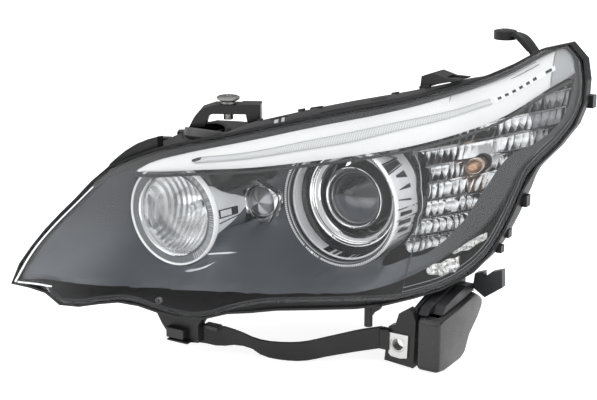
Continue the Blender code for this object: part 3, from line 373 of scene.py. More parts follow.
def projector_glass():
    """Thick condenser lens with a painted refraction: the dark inside of the lamp, seen upside down in it, is painted
    near black above a wavy line and lighter grey below.
    """
    n = Nodes("projector_glass")
    sep = n.add("ShaderNodeSeparateXYZ")
    n.link(n.co, sep.inputs[0])
    wob = n.noise(38.0, 2.0)
    add = n.add("ShaderNodeMath", operation="MULTIPLY_ADD")
    n.link(wob, add.inputs[0])
    add.inputs[1].default_value = 0.010
    n.link(sep.outputs["Z"], add.inputs[2])
    # painted refraction: near black above this wavy line, lighter grey below it
    half = n.ramp(add.outputs[0], 1.0, 0.0, -0.114, -0.108)
    low = n.mix(n.ramp(n.noise(55.0, 3.0), 0, 1, 0.35, 0.65), (0.085, 0.093, 0.105), (0.14, 0.15, 0.165))
    n.set(Base_Color=n.mix(half, (0.028, 0.031, 0.036), low), Roughness=0.04, Specular_IOR_Level=0.6,
          Coat_Weight=1.0, Coat_Roughness=0.01)
    return n.m


def amber():
    n = Nodes("amber_glass")
    n.set(Base_Color=n.mix(n.ramp(n.noise(120.0, 3.0), 0, 1, 0.3, 0.7), (0.40, 0.20, 0.10), (0.62, 0.42, 0.28)),
          Metallic=0.6, Roughness=0.1, Coat_Weight=1.0, Coat_Roughness=0.02)
    return n.m


PROJECTOR = projector_glass()
AMBER = amber()


def fluted():
    """Vacuum-metallised bowl with upright flutes, its shine painted: bright and dark bands and bright streaks in the
    colour are painted reflections, and an emission glow growing outwards is painted light.
    """
    n = Nodes("fluted_chrome")
    bend = n.add("ShaderNodeMapping")
    bend.inputs["Rotation"].default_value = (0, 0.06, 0)
    n.link(n.co, bend.inputs["Vector"])
    w = n.add("ShaderNodeTexWave", wave_type="BANDS", bands_direction="X")
    w.inputs["Scale"].default_value, w.inputs["Distortion"].default_value = 60.0, 0.9
    w.inputs["Detail"].default_value, w.inputs["Detail Scale"].default_value = 2.0, 0.25
    n.link(bend.outputs["Vector"], w.inputs["Vector"])
    sep = n.add("ShaderNodeSeparateXYZ")
    n.link(n.co, sep.inputs[0])
    # painted glow: the emission grows with distance outwards
    glow_ramp_outwards = n.ramp(sep.outputs["X"], 0.0, 1.0, -0.105, -0.025)
    streak = n.noise(22.0, 3.0)
    # painted reflections: dark and bright bands along the flutes, and bright streaks
    tone = n.mix(n.ramp(w.outputs["Fac"], 0.0, 1.0, 0.25, 0.7), (0.20, 0.205, 0.21), (0.95, 0.95, 0.96))
    tone = n.mix(n.ramp(streak, 0.0, 0.75, 0.42, 0.66), tone, (0.98, 0.98, 0.98))
    lift = n.mix(glow_ramp_outwards, (0.10, 0.10, 0.10), (0.42, 0.42, 0.42))
    painted_glow_colour = n.add("ShaderNodeMix", data_type="RGBA", blend_type="MULTIPLY")
    painted_glow_colour.inputs[0].default_value = 1.0
    n.link(tone, painted_glow_colour.inputs[6])
    n.link(lift, painted_glow_colour.inputs[7])
    n.set(Base_Color=tone, Metallic=1.0, Roughness=0.14, Emission_Color=painted_glow_colour.outputs[2], Emission_Strength=1.0)
    return n.m


def speckled(name, lo, hi, scale):
    """Prismatic reflex moulding: small bright and dull cells, painted glints of its prisms."""
    n = Nodes(name)
    v = n.add("ShaderNodeTexVoronoi", Scale=scale)
    n.link(n.co, v.inputs["Vector"])
    sep = n.add("ShaderNodeSeparateColor")
    n.link(v.outputs["Color"], sep.inputs[0])
    n.set(Base_Color=n.mix(sep.outputs[0], lo, hi), Roughness=0.15, Coat_Weight=0.8, Coat_Roughness=0.03)
    n.bump(v.outputs["Distance"], 0.4, 0.001)
    return n.m


FLUTED = fluted()
REFLEX = speckled("reflex_white", (0.16, 0.16, 0.15), (0.9, 0.9, 0.88), 340.0)


def sectors(name, centre, tones, wobble=0.5):
    """Faceted glass: tone steps by angle round a centre given in design X, Z, painted reflections of the facets."""
    n = Nodes(name)
    sep = n.add("ShaderNodeSeparateXYZ")
    n.link(n.co, sep.inputs[0])
    parts = []
    for axis, c, o in (("Z", centre[1], ORIGIN[2]), ("X", centre[0], ORIGIN[0])):
        sub = n.add("ShaderNodeMath", operation="SUBTRACT")
        n.link(sep.outputs[axis], sub.inputs[0])
        sub.inputs[1].default_value = (c - o) * MM
        parts.append(sub.outputs[0])
    at = n.add("ShaderNodeMath", operation="ARCTAN2")
    n.link(parts[0], at.inputs[0])
    n.link(parts[1], at.inputs[1])
    fac = n.ramp(at.outputs[0], 0.0, 1.0, -math.pi, math.pi)
    ramp = n.add("ShaderNodeValToRGB")
    ramp.color_ramp.interpolation = "LINEAR"
    e = ramp.color_ramp.elements
    for k, (p, v) in enumerate(tones):
        q = e[k] if k < 2 else e.new(p)
        q.position = p
        q.color = (v, v * 1.03, v * 1.08, 1)
    n.link(fac, ramp.inputs[0])
    n.set(Base_Color=ramp.outputs[0], Roughness=0.05, Coat_Weight=1.0, Coat_Roughness=0.01, Specular_IOR_Level=0.6)
    return n.m


# painted reflections: bright and dark facets of the cornering lamp glass
CORNER = sectors("corner_glass", CL, [(0.0, 0.5), (1.0, 0.5), (0.08, 0.75), (0.1, 0.12), (0.2, 0.1), (0.24, 0.85), (0.33, 0.8),
                                      (0.36, 0.3), (0.48, 0.14), (0.52, 0.5), (0.62, 0.62), (0.66, 0.2), (0.78, 0.16),
                                      (0.84, 0.4), (0.9, 0.16)])
DRUM = plastic("drum_satin", (0.74, 0.75, 0.77), 0.24, 500, 0.12, 0.0002, 0.08, coat=0.6)


# ------------------------------------------------------------------ mesh helpers
def make(name, verts, faces, mats, body="lamp_body", replaces=(), slot=None, fmat=None, sharp=38, design=True):
    co = np.asarray(verts, float)
    if design:
        co = (co - ORIGIN) * MM
    mesh = bpy.data.meshes.new(name)
    mesh.from_pydata(co.tolist(), [], [tuple(int(i) for i in f) for f in faces])
    for m in (mats if isinstance(mats, (list, tuple)) else [mats]):
        mesh.materials.append(m)
    if fmat is not None:
        mesh.polygons.foreach_set("material_index", np.asarray(fmat, np.int32))
    bm = bmesh.new()
    bm.from_mesh(mesh)
    bmesh.ops.recalc_face_normals(bm, faces=bm.faces)
    bm.to_mesh(mesh)
    bm.free()
    mesh.shade_smooth()
    mesh.set_sharp_from_angle(angle=math.radians(sharp))
    obj = bpy.data.objects.new(name, mesh)
    bpy.context.scene.collection.objects.link(obj)
    if body:
        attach(obj, body)
    if replaces:
        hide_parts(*replaces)
    return obj


def boolean(obj, others, how="DIFFERENCE", sharp=38):
    for c in others:
        b = obj.modifiers.new("cut", "BOOLEAN")
        b.operation, b.object, b.solver = how, c, "EXACT"
    bpy.context.view_layer.update()
    graph = bpy.context.evaluated_depsgraph_get()
    mesh = bpy.data.meshes.new_from_object(obj.evaluated_get(graph))
    obj.modifiers.clear()
    obj.data = mesh
    mesh.name = obj.name
    mesh.shade_smooth()
    mesh.set_sharp_from_angle(angle=math.radians(sharp))
    for c in others:
        bpy.data.objects.remove(c)
    return obj


def bevel(obj, width, segments=2, angle=35):
    b = obj.modifiers.new("round", "BEVEL")
    b.width, b.segments, b.limit_method = width * MM, segments, "ANGLE"
    b.angle_limit = math.radians(angle)
    b.harden_normals = False
    return obj


def lathe(name, prof, centre, mats, steps=144, idx=None, wob=None, axis="Y", turn=None, at=None, **kw):
    """Turned solid. prof is (radius, y); it closes on itself unless it starts and ends on the
    axis. idx gives the material of each profile step, wob(k, angles) adds (dr, dy)."""
    prof = [tuple(map(float, p)) for p in prof]
    th = np.linspace(0, 2 * np.pi, steps, endpoint=False)
    closed = prof[0][0] > 1e-6 or prof[-1][0] > 1e-6
    verts, rows = [], []
    for k, (r, y) in enumerate(prof):
        if r < 1e-6:
            rows.append([len(verts)] * steps)
            verts.append((0, y, 0))
            continue
        dr, dy = wob(k, th) if wob else (0 * th, 0 * th)
        rows.append(list(range(len(verts), len(verts) + steps)))
        verts += list(zip((r + dr) * np.cos(th), y + dy, (r + dr) * np.sin(th)))
    faces, fm = [], []
    n = len(prof)
    for k in range(n if closed else n - 1):
        a, b = rows[k], rows[(k + 1) % n]
        for j in range(steps):
            i = (j + 1) % steps
            f = [a[j], a[i], b[i], b[j]]
            f = [q for t, q in enumerate(f) if q not in f[:t]]
            if len(f) > 2:
                faces.append(f)
                m = idx[k] if idx else 0
                fm.append(m(math.degrees(th[j])) if callable(m) else m)
    v = np.array(verts, float)
    if axis == "Z":
        v = np.stack([v[:, 0], v[:, 2], -v[:, 1]], 1)      # distance grows downwards
    if turn is not None:
        v = v @ np.array(turn.to_3x3()).T
    if at is None:
        at = (centre[0], 0, centre[1])
    return make(name, v + np.array(at), faces, mats, fmat=fm, **kw)


def plate(name, front, back, mats, idx=None, **kw):
    """Closed plate between two matching grids of points."""
    f, b = np.asarray(front, float), np.asarray(back, float)
    r, c = f.shape[:2]
    verts = np.concatenate([f.reshape(-1, 3), b.reshape(-1, 3)])
    m = r * c
    faces, fm = [], []
    for i in range(r - 1):
        for j in range(c - 1):
            q = [i * c + j, i * c + j + 1, (i + 1) * c + j + 1, (i + 1) * c + j]
            faces += [tuple(q), tuple(m + t for t in q[::-1])]
            fm += [idx(i, j) if idx else 0] * 2
    ring = ([j for j in range(c)] + [i * c + c - 1 for i in range(1, r)]
            + [(r - 1) * c + j for j in range(c - 2, -1, -1)] + [i * c for i in range(r - 2, 0, -1)])
    for p, q in zip(ring, ring[1:] + ring[:1]):
        faces.append((q, p, m + p, m + q))
        fm.append(0)
    return make(name, verts, faces, mats, fmat=fm, **kw)


def hoop(name, rows, mats, idx=None, **kw):
    """Closed band: rows of loops, the last joined back to the first."""
    r, c = len(rows), len(rows[0])
    verts = np.concatenate([np.asarray(q, float) for q in rows])
    faces, fm = [], []
    for i in range(r):
        k = (i + 1) % r
        for j in range(c):
            t = (j + 1) % c
            faces.append((i * c + j, i * c + t, k * c + t, k * c + j))
            fm.append(idx[i] if idx else 0)
    return make(name, verts, faces, mats, fmat=fm, **kw)


def strip(name, top, low, depth, crown, thick, mats, n=160, across=10, edge=0.0, **kw):
    """A band behind the cover lens with a rounded section."""
    t, b = spline(top, n), spline(low, n)
    s = np.linspace(0, 1, across + 1)[:, None, None]
    xz = t[None] * (1 - s) + b[None] * s
    x, z = xz[..., 0], xz[..., 1]
    lift = crown * 4 * s[..., 0] * (1 - s[..., 0]) - edge * (1 - smooth(np.minimum(s[..., 0], 1 - s[..., 0]) * 8))
    f = np.stack([x, behind(x, z, depth - lift), z], -1)
    k = np.stack([x, behind(x, z, depth - lift + thick), z], -1)
    return plate(name, f, k, mats, **kw)


def prism(name, pts, thick, at, axis="Y", mats=None, turn=None, rnd=0.0, seg=2, **kw):
    """A flat outline given thickness. axis Y: points are (X, Z); axis X: (Y, Z); axis Z: (X, Y)."""
    p = np.asarray(pts, float)
    n = len(p)
    h = thick / 2
    if axis == "Y":
        a = np.stack([p[:, 0], np.full(n, -h), p[:, 1]], 1)
        b = a + (0, thick, 0)
    elif axis == "X":
        a = np.stack([np.full(n, -h), p[:, 0], p[:, 1]], 1)
        b = a + (thick, 0, 0)
    else:
        a = np.stack([p[:, 0], p[:, 1], np.full(n, -h)], 1)
        b = a + (0, 0, thick)
    v = np.concatenate([a, b])
    if turn is not None:
        v = v @ np.array(turn.to_3x3()).T
    faces = [tuple(range(n)), tuple(range(2 * n - 1, n - 1, -1))]
    faces += [(i, (i + 1) % n, n + (i + 1) % n, n + i) for i in range(n)]
    o = make(name, v + np.array(at, float), faces, mats or [BLACK], **kw)
    return bevel(o, rnd, seg) if rnd else o


def block(name, size, at, mats=None, turn=None, rnd=0.0, seg=2, **kw):
    x, y = size[0] / 2, size[1] / 2
    return prism(name, [(-x, -y), (x, -y), (x, y), (-x, y)], size[2], at, "Z", mats, turn, rnd, seg, **kw)


def rod(name, r, y0, y1, c, mats=None, steps=48, **kw):
    return lathe(name, [(0, y0), (r, y0), (r, y1), (0, y1)], c, mats or [BLACK], steps, **kw)


def joined(name, objs, replaces=(), slot=None, body="lamp_body"):
    """Several closed pieces as one object."""
    graph = None
    bm = bmesh.new()
    mats = []
    for o in objs:
        bpy.context.view_layer.update()
        graph = bpy.context.evaluated_depsgraph_get()
        me = bpy.data.meshes.new_from_object(o.evaluated_get(graph))
        remap = []
        for m in me.materials:
            if m not in mats:
                mats.append(m)
            remap.append(mats.index(m))
        for p in me.polygons:
            p.material_index = remap[p.material_index] if remap else 0
        bm.from_mesh(me)
        bpy.data.meshes.remove(me)
    for o in objs:
        bpy.data.objects.remove(o)
    mesh = bpy.data.meshes.new(name)
    bm.to_mesh(mesh)
    bm.free()
    for m in mats:
        mesh.materials.append(m)
    obj = bpy.data.objects.new(name, mesh)
    bpy.context.scene.collection.objects.link(obj)
    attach(obj, body)
    if replaces:
        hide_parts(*replaces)
    return obj


# ------------------------------------------------------------------ cover lens, border
N = 420
edge = spline(LENS_EDGE, N, closed=True)
up = offset_loop(edge, 1.0)[:, 1] - edge[:, 1]


def ledge(x):
    return 6.0 * np.clip(np.minimum((x - 262) / 22, (424 - x) / 24), 0, 1)


def ring3(loop, depth):
    return np.stack([loop[:, 0], behind(edge[:, 0], edge[:, 1], depth), loop[:, 1]], 1)


lens_loop = offset_loop(edge, -0.2)
centre = np.array((300.0, 100.0))


def lens_row(s, depth):
    q = centre + s * (lens_loop - centre)
    return np.stack([q[:, 0], behind(q[:, 0], q[:, 1], depth), q[:, 1]], 1)


inner_loop = offset_loop(edge, -3.0)
shares = [0.994, 0.985, 0.96, 0.93, 0.89, 0.84, 0.78, 0.72, 0.65, 0.58, 0.5, 0.42, 0.34, 0.26, 0.18, 0.1, 0.04]
rows = [ring3(inner_loop, 5.0), ring3(lens_loop, 5.0), ring3(lens_loop, 0.9), ring3(offset_loop(edge, -0.8), 0.25)]
rows += [lens_row(s, 0.0) for s in shares]
outer_n = len(rows)
rows += [lens_row(s, 2.8) for s in shares[::-1]]
r, c = len(rows), N
verts = np.concatenate(rows)
faces = []
for i in range(r):
    k = (i + 1) % r
    if i == outer_n - 1:
        continue
    for j in range(c):
        t = (j + 1) % c
        faces.append((i * c + j, i * c + t, k * c + t, k * c + j))
tips = [len(verts), len(verts) + 1]
verts = np.concatenate([verts, [[centre[0], lens_y(*centre), centre[1]], [centre[0], behind(*centre, 2.8), centre[1]]]])
for row, tip in ((outer_n - 1, tips[0]), (outer_n, tips[1])):
    faces += [(row * c + j, row * c + (j + 1) % c, tip) for j in range(c)]
make("cover_lens", verts, faces, [LENS], replaces=["outer_lens"], slot="clear_cover", sharp=50)


def band_width(x, z):
    top = np.clip((z - 120) / 25, 0, 1) * np.clip((475 - x) / 120, 0, 1)
    return 2.2 + 4.6 * top


q0 = offset_loop(edge, -3.8)
q1 = edge + (offset_loop(edge, -1.0) - edge) * (3.8 + band_width(edge[:, 0], edge[:, 1]))[:, None]
qm = q0 * 0.5 + q1 * 0.5
hoop("lens_border", [ring3(q0, 4.0), ring3(qm, 3.7), ring3(q1, 4.0), ring3(q1, 5.4), ring3(q0, 5.4)],
     [FLANGE], replaces=["lens_seal"], slot="rubber")

# Painted glints: thin glowing white strips just under the cover, along its left edge and its base, stand for light
# caught in the lens edge.
left_edge = [(3.0, 2.5), (21.5, 39.5), (41.5, 68), (67, 98.5), (84, 119)]
p = spline(left_edge, 80)
q = p + (p[::-1] * 0 + np.array([2.0, -1.3])) * np.clip(np.linspace(1.0, 0.5, 80), 0, 1)[:, None]
f = np.stack([np.stack([a[:, 0], behind(a[:, 0], a[:, 1], d), a[:, 1]], 1) for a, d in ((p, 0.15), ((p + q) / 2, 0.05), (q, 0.15))])
plate("lens_edge_painted_glint", f, f + (0, 1.0, 0), [RING_WHITE_GLOW], slot="clear_cover")
base_edge = spline([(8, 1.6), (34, 2.6), (56, 2.4)], 30)
f = np.stack([np.stack([base_edge[:, 0], behind(base_edge[:, 0], base_edge[:, 1] + d, 0.1), base_edge[:, 1] + d], 1) for d in (0, 0.8, 1.6)])
plate("lens_base_painted_glint", f, f + (0, 1.0, 0), [RING_WHITE_GLOW], slot="clear_cover")

# ------------------------------------------------------------------ bezel
bezel_loop = spline(BEZEL_EDGE, 360, closed=True)
turn_loop = spline(TURN_WINDOW, 260, closed=True)
STEP = 1.5
gx = np.arange(-9, 553, STEP)
gz = np.arange(-22, 283, STEP)
GX, GZ = np.meshgrid(gx, gz, indexing="ij")


def edge_depth(x, z):
    return 7 + 4 * smooth((z - 118) / 30)


fixed = ~inside(bezel_loop, GX, GZ)
value = edge_depth(GX, GZ) * slope(GX, GZ)
for (cx, cz), rad, rim in (((LB), LB_R + 0.6, LB_RIM), ((HB), HB_R + 0.7, HB_RIM)):
    d = np.hypot(GX - cx, GZ - cz)
    a = np.degrees(np.arctan2(GZ - cz, GX - cx))
    m = d < rad + 0.8
    value[m] = (np.interp(a, *rim) - lens_y(GX, GZ))[m]
    fixed |= m
hb_in = np.hypot(GX - HB[0], GZ - HB[1]) < HB_R + 4
m = (np.hypot(GX - CL[0], GZ - CL[1]) < CL_R + 6.5) & ~hb_in & (np.hypot(GX - LB[0], GZ - LB[1]) > LB_R + 4)
value[m] = (204 - lens_y(GX, GZ))[m]
fixed |= m
m = inside(turn_loop, GX, GZ) & (np.hypot(GX - LB[0], GZ - LB[1]) > LB_R + 6)
value[m] = (behind(GX, GZ, 9) + 5 - lens_y(GX, GZ))[m]
fixed |= m
field = np.where(fixed, value, 20.0)
for coarse in (8, 4, 2, 1):
    f = field[::coarse, ::coarse].copy()
    fx, v = fixed[::coarse, ::coarse], value[::coarse, ::coarse]
    par = (np.add.outer(np.arange(f.shape[0]), np.arange(f.shape[1])) % 2).astype(bool)
    for it in range(240 if coarse > 1 else 160):
        for p in (par, ~par):
            s = f.copy()
            s[1:-1, 1:-1] = 0.25 * (f[:-2, 1:-1] + f[2:, 1:-1] + f[1:-1, :-2] + f[1:-1, 2:])
            f = np.where(p & ~fx, f + 1.7 * (s - f), f)
            f = np.where(fx, v, f)
    if coarse == 1:
        field = f
    else:
        xi = np.arange(field.shape[0]) / coarse
        zi = np.arange(field.shape[1]) / coarse
        i0 = np.clip(xi.astype(int), 0, f.shape[0] - 2)
        j0 = np.clip(zi.astype(int), 0, f.shape[1] - 2)
        u, w = np.clip(xi - i0, 0, 1)[:, None], np.clip(zi - j0, 0, 1)[None]
        up_f = (f[i0][:, j0] * (1 - u) * (1 - w) + f[i0 + 1][:, j0] * u * (1 - w)
                + f[i0][:, j0 + 1] * (1 - u) * w + f[i0 + 1][:, j0 + 1] * u * w)
        field = np.where(fixed, value, up_f)


def bezel_y(x, z):
    xi, zi = (x - gx[0]) / STEP, (z - gz[0]) / STEP
    i, j = np.clip(xi.astype(int), 0, len(gx) - 2), np.clip(zi.astype(int), 0, len(gz) - 2)
    u, w = xi - i, zi - j
    d = (field[i, j] * (1 - u) * (1 - w) + field[i + 1, j] * u * (1 - w)
         + field[i, j + 1] * (1 - u) * w + field[i + 1, j + 1] * u * w)
    return lens_y(x, z) + d


def ring2(c, r, n):
    a = np.linspace(0, 2 * np.pi, n, endpoint=False)
    return np.stack([c[0] + r * np.cos(a), c[1] + r * np.sin(a)], 1)


def on_bezel(x, z):
    """Which points belong to the bezel, holes left out."""
    d_lb = np.hypot(x - LB[0], z - LB[1])
    keep = inside(bezel_loop, x, z) & (d_lb > LB_R + 0.4)
    keep &= (np.hypot(x - HB[0], z - HB[1]) > HB_R + 0.4) & (np.hypot(x - CL[0], z - CL[1]) > CL_R + 0.6)
    return keep & ~inside(turn_loop, x, z)


pts, links = [], []
for loop in (bezel_loop, turn_loop, ring2(LB, LB_R + 0.4, 260), ring2(HB, HB_R + 0.4, 220),
             ring2(CL, CL_R + 0.6, 110)):
    n0 = len(pts)
    pts += [Vector((float(a), float(b))) for a, b in loop]
    links += [(n0 + k, n0 + (k + 1) % len(loop)) for k in range(len(loop))]
hx, hz = np.meshgrid(np.arange(8, 542, 2.0), np.arange(5, 264, 2.0), indexing="ij")
hx = hx + 0.5 * (np.arange(hx.shape[1]) % 2)[None]
well = on_bezel(hx, hz)
for dx, dz in ((0.9, 0), (-0.9, 0), (0, 0.9), (0, -0.9)):
    well &= on_bezel(hx + dx, hz + dz)
pts += [Vector((float(a), float(b))) for a, b in zip(hx[well], hz[well])]
flat, _, tris, _, _, _ = delaunay_2d_cdt(pts, links, [], 0, 1e-4)
flat = np.array([tuple(p) for p in flat])
tris = np.array([t for t in tris if len(t) == 3])
mid = flat[tris].mean(1)
tris = tris[on_bezel(mid[:, 0], mid[:, 1])]
used = np.unique(tris)
remap = np.full(len(flat), -1)
remap[used] = np.arange(len(used))
flat, tris = flat[used], remap[tris]
bx, bz = flat[:, 0], flat[:, 1]
low = bezel_loop[np.argsort(bezel_loop[:, 0])]
low = low[low[:, 1] < np.interp(low[:, 0], [9, 120, 540], [12, 75, 215])]
by = bezel_y(bx, bz) + 5.0 * smooth(1 - (bz - np.interp(bx, low[:, 0], low[:, 1])) / 6.0) * np.clip((bx - 20) / 30, 0, 1)
gxx = (bezel_y(bx + 1.5, bz) - bezel_y(bx - 1.5, bz)) / 3
gzz = (bezel_y(bx, bz + 1.5) - bezel_y(bx, bz - 1.5)) / 3
thick = np.minimum(6.0, 1.6 * np.sqrt(1 + gxx ** 2 + gzz ** 2))
nb = len(flat)
verts = np.concatenate([np.stack([bx, by, bz], 1), np.stack([bx, by + thick, bz], 1)])
count = {}
for a, b, c in tris.tolist():
    for e in ((a, b), (b, c), (c, a)):
        count[e] = 1
faces = tris.tolist() + (tris[:, ::-1] + nb).tolist()
faces += [(b, a, nb + a, nb + b) for a, b in count if (b, a) not in count]
mid = flat[tris].mean(1)
# Painted shade: bezel faces inside this outline, the hollow under the brow above the cornering lamp, are black gloss
# instead of anthracite.
brow_shade_outline = spline([(182, 148), (196, 141), (206, 128), (214, 112), (224, 113), (236, 115), (247, 124), (243, 136), (222, 143), (204, 150)], 80, closed=True)
dark = inside(brow_shade_outline, mid[:, 0], mid[:, 1])
fmat = np.zeros(len(faces), int)
fmat[:len(tris)] = dark
bezel = make("bezel_skin", verts, faces, [BEZEL, BLACK_GLOSS], fmat=fmat, replaces=["bezel"], slot="anthracite_plastic", sharp=62)

# ------------------------------------------------------------------ brow
strip("brow", BROW_TOP, BROW_LOW, 7.0, 1.4, 2.2, [SILVER], 200, 14, 0.7, replaces=["brow_trim"], slot="satin_silver")
strip("brow_cap", CAP_TOP, CAP_LOW, 7.0, 1.2, 2.2, [CAP], 40, 12, 0.5, replaces=["brow_end_cap"], slot="satin_silver")
strip("brow_guide", GUIDE_TOP, GUIDE_LOW, 4.6, 0.5, 1.2, [GUIDE_BAR], 260, 6, 0.3, replaces=["brow_light_guide"],
      slot="light_guide")
for name, top_, low_ in (("guide_edge_top", [(x, z + 0.7) for x, z in GUIDE_TOP], GUIDE_TOP), ("guide_edge_low", GUIDE_LOW, [(x, z - 0.7) for x, z in GUIDE_LOW])):
    strip(name, top_, low_, 4.7, 0.1, 0.8, [CAP], 200, 3, slot="light_guide")
strip("guide_start", [(192, 154.6), (196, 156.2), (201, 157.4)], [(191.5, 152.2), (196, 152.6), (201, 154.6)], 4.1, 0.1, 0.8, [DARK], 20, 3, slot="light_guide")
led_top = [(467, 216), (483, 226), (500, 240), (512, 249)]
led_low = [(470.5, 211.5), (487, 221.5), (503, 234.5), (514.5, 243.5)]
strip("brow_led_window", led_top, led_low, 4.6, 0.0, 1.1, [WHITE], 60, 4, 0.2, replaces=["brow_led_strip"],
      slot="aluminium")
t_led, b_led = spline(led_top, 61), spline(led_low, 61)
leds = []
for k, at in enumerate((5, 12, 19, 26, 33, 40, 54)):
    w = 2 if k < 6 else 3.6
    top = t_led[int(at - w / 2):int(at + w / 2) + 2]
    a0, a1 = t_led[at] * 0.78 + b_led[at] * 0.22, t_led[at] * 0.22 + b_led[at] * 0.78
    t = (t_led[min(60, at + 1)] - t_led[at - 1])
    t /= np.linalg.norm(t)
    p = np.array([a0 - t * w * 0.75, a0 + t * w * 0.75, a1 + t * w * 0.75, a1 - t * w * 0.75])
    f = np.stack([p[:, 0], behind(p[:, 0], p[:, 1], 4.2), p[:, 1]], 1)
    g = np.stack([p[:, 0], behind(p[:, 0], p[:, 1], 4.9), p[:, 1]], 1)
    leds.append(make(f"led_{k}", np.concatenate([f, g]), [(0, 1, 2, 3), (7, 6, 5, 4), (0, 4, 5, 1), (1, 5, 6, 2),
                                                           (2, 6, 7, 3), (3, 7, 4, 0)], [BLACK_GLOSS], body=None))
joined("brow_leds", leds, slot="black_plastic")
lip_top = [(129, 134.6), (160, 136.4), (203, 140.3), (257, 144.3), (306, 150.3), (352, 156.2),
           (397, 163.2), (439, 174), (479, 190.6), (513, 219.4), (532, 232)]
lip_low = [(131, 131.6), (160, 133.4), (203, 137.3), (257, 141.3), (306, 147.3), (352, 153.2),
           (397, 160.2), (439.5, 170.8), (480, 187.4), (514.5, 216.2), (533, 228)]
strip("brow_lip", lip_top, lip_low, 5.2, 0.4, 2.0, [BLACK_GLOSS], 200, 5, replaces=["brow_lower_lip"],
      slot="black_plastic")


# ------------------------------------------------------------------ edges that catch the light on the bezel: raised lines in bright drum white, painted highlights
def ribbon(name, pts, half, mats, **kw):
    """Thin raised line lying on the bezel."""
    p = spline(pts, 60)
    t = np.gradient(p, axis=0)
    t /= np.linalg.norm(t, axis=1)[:, None]
    q = np.stack([-t[:, 1], t[:, 0]], 1)
    taper = half * np.clip(np.minimum(np.linspace(0, 1, 60), np.linspace(1, 0, 60)) * 5, 0.15, 1)[:, None]
    rows = [p + q * taper * k for k in (-1, 0, 1)]
    f = np.array([[(x, bezel_y(x, z) - 0.5 + 0.3 * abs(k - 1), z) for x, z in row] for k, row in enumerate(rows)])
    return plate(name, f, f + (0, 0.9, 0), mats, **kw)


ribbon("bezel_edge_line", [(203.5, 38.3), (215, 40.5), (224, 40), (233, 39)], 0.8, [DRUM], slot="chrome")
ribbon("bezel_edge_line_low", [(186, 19.5), (203, 24.5), (214, 28.5), (221, 33)], 0.9, [DRUM], slot="chrome")

# ------------------------------------------------------------------ high beam
def teeth(count, depth, which):
    def wob(k, th):
        if k in which:
            s = np.where(np.sin(th * count) > 0, 1.0, -1.0)
            return depth * 0 * s, depth * s
        return 0 * th, 0 * th
    return wob


def patch(deg):
    return 1 if 278 <= deg <= 302 else 2


def stripes(width, one, two, lo=None, hi=None, other=None):
    """Radial ticks: material one and two in turn, other outside the range lo..hi degrees."""
    def pick(deg):
        if lo is not None and not ((deg - lo) % 360 <= (hi - lo) % 360):
            return other
        return one if int(deg / width) % 2 else two
    return pick


lathe("high_beam_halo", [(60.4, 114.0), (60.8, 112.6), (61.4, 111.9), (62.4, 111.7), (63, 112.6), (63, 119.8), (60.4, 119.8)],
      HB, [RING_WHITE_GLOW, RING_GREY], 360, replaces=["high_beam_ring"], slot="light_guide", sharp=60)
tick = stripes(1.5, 2, 1, 300, 74, 1)
lathe("high_beam_tube", [
    (50.0, 114.9), (51.0, 114.4), (51.6, 114.9), (52.2, 114.4), (52.8, 115.0), (60.1, 113.4), (60.1, 120.2), (62.8, 120.2), (62.8, 178),
    (61.4, 178), (61.4, 130), (50.2, 127.5), (49.0, 126.4), (48.9, 119.6), (49.4, 118.2)],
      HB, [CHROME, RING_GREY, TICK, DARK, BEZEL, BLACK_GLOSS, DRUM], 480,
      # painted shade and reflection: the last profile step is black gloss at 52-132 and 296-326 degrees, the dark
      # crescents, and drum white elsewhere
      idx=[0, 1, 0, 1, tick, 0, 4, 4, 4, 4, 4, 0, 0, 0, lambda d: 5 if 52 <= d <= 132 or 296 <= d <= 326 else 6],
      replaces=["high_beam_drum"], slot="chrome", sharp=25)
disc_prof = [(0, 117.4), (15, 117.7), (30, 118.3), (40, 119.0), (48.0, 119.7), (48.6, 120.3), (48.6, 122.8), (47, 123.0),
             (30, 121.2), (15, 120.5), (0, 120.2)]
lathe("high_beam_disc", disc_prof, HB, [CLEAR], 144, replaces=["high_beam_lens"], slot="glass")


def bowl(name, centre, prof, mats, steps, flute, **kw):
    """A reflector bowl whose inner face has upright flutes."""
    half = len(prof) // 2

    def wob(k, th):
        r = prof[k][0]
        if k == 0 or k == len(prof) - 1 or r < 8:
            return 0 * th, 0 * th
        x, z = r * np.cos(th), r * np.sin(th)
        inner = k > half
        w = x + 1.6 * np.sin(z * 0.09 + x * 0.13)
        s = np.abs(np.sin(w * math.pi / flute[0])) * flute[1] * (1 + 0.5 * np.sin(x * 0.31)) if inner else 0 * th
        return 0 * th, -s
    return lathe(name, prof, centre, mats, steps, wob=wob, **kw)


outer = [(57, 131), (59.6, 131), (59.2, 138), (56.8, 148), (52.4, 158), (46, 168.5), (38, 178), (29, 185.6), (19, 191.6),
         (12, 194.4)]
inner = [(10, 192.4), (14, 191), (19, 188.4), (24, 185.4), (29, 182), (33.5, 178.4), (38, 174), (42, 169.4), (45.6, 164.6),
         (49, 159), (51.6, 153.6), (54, 147), (55.6, 140), (56.6, 135)]
bowl("high_beam_bowl", HB, outer + inner, [FLUTED], 360, (5.2, 0.7), replaces=["high_beam_reflector"], slot="chrome", sharp=60)
lathe("high_beam_lamp", [(0, 152), (3.6, 152.4), (5.6, 154.4), (6, 158), (6, 166), (5.4, 170), (5.4, 184), (6.4, 187), (8.4, 190),
                         (8.4, 195), (14, 195), (14, 204), (10, 206), (10, 228), (0, 228)], HB, [GLASS, SATIN, STEEL], 64,
      idx=[1, 1, 1, 1, 0, 0, 0, 0, 2, 2, 2, 2, 2, 2], replaces=["high_beam_bulb"], slot="glass")
slot_pts = [(11.3, 119.5), (8.7, 160), (-0.2, 160), (1.6, 119.5)]


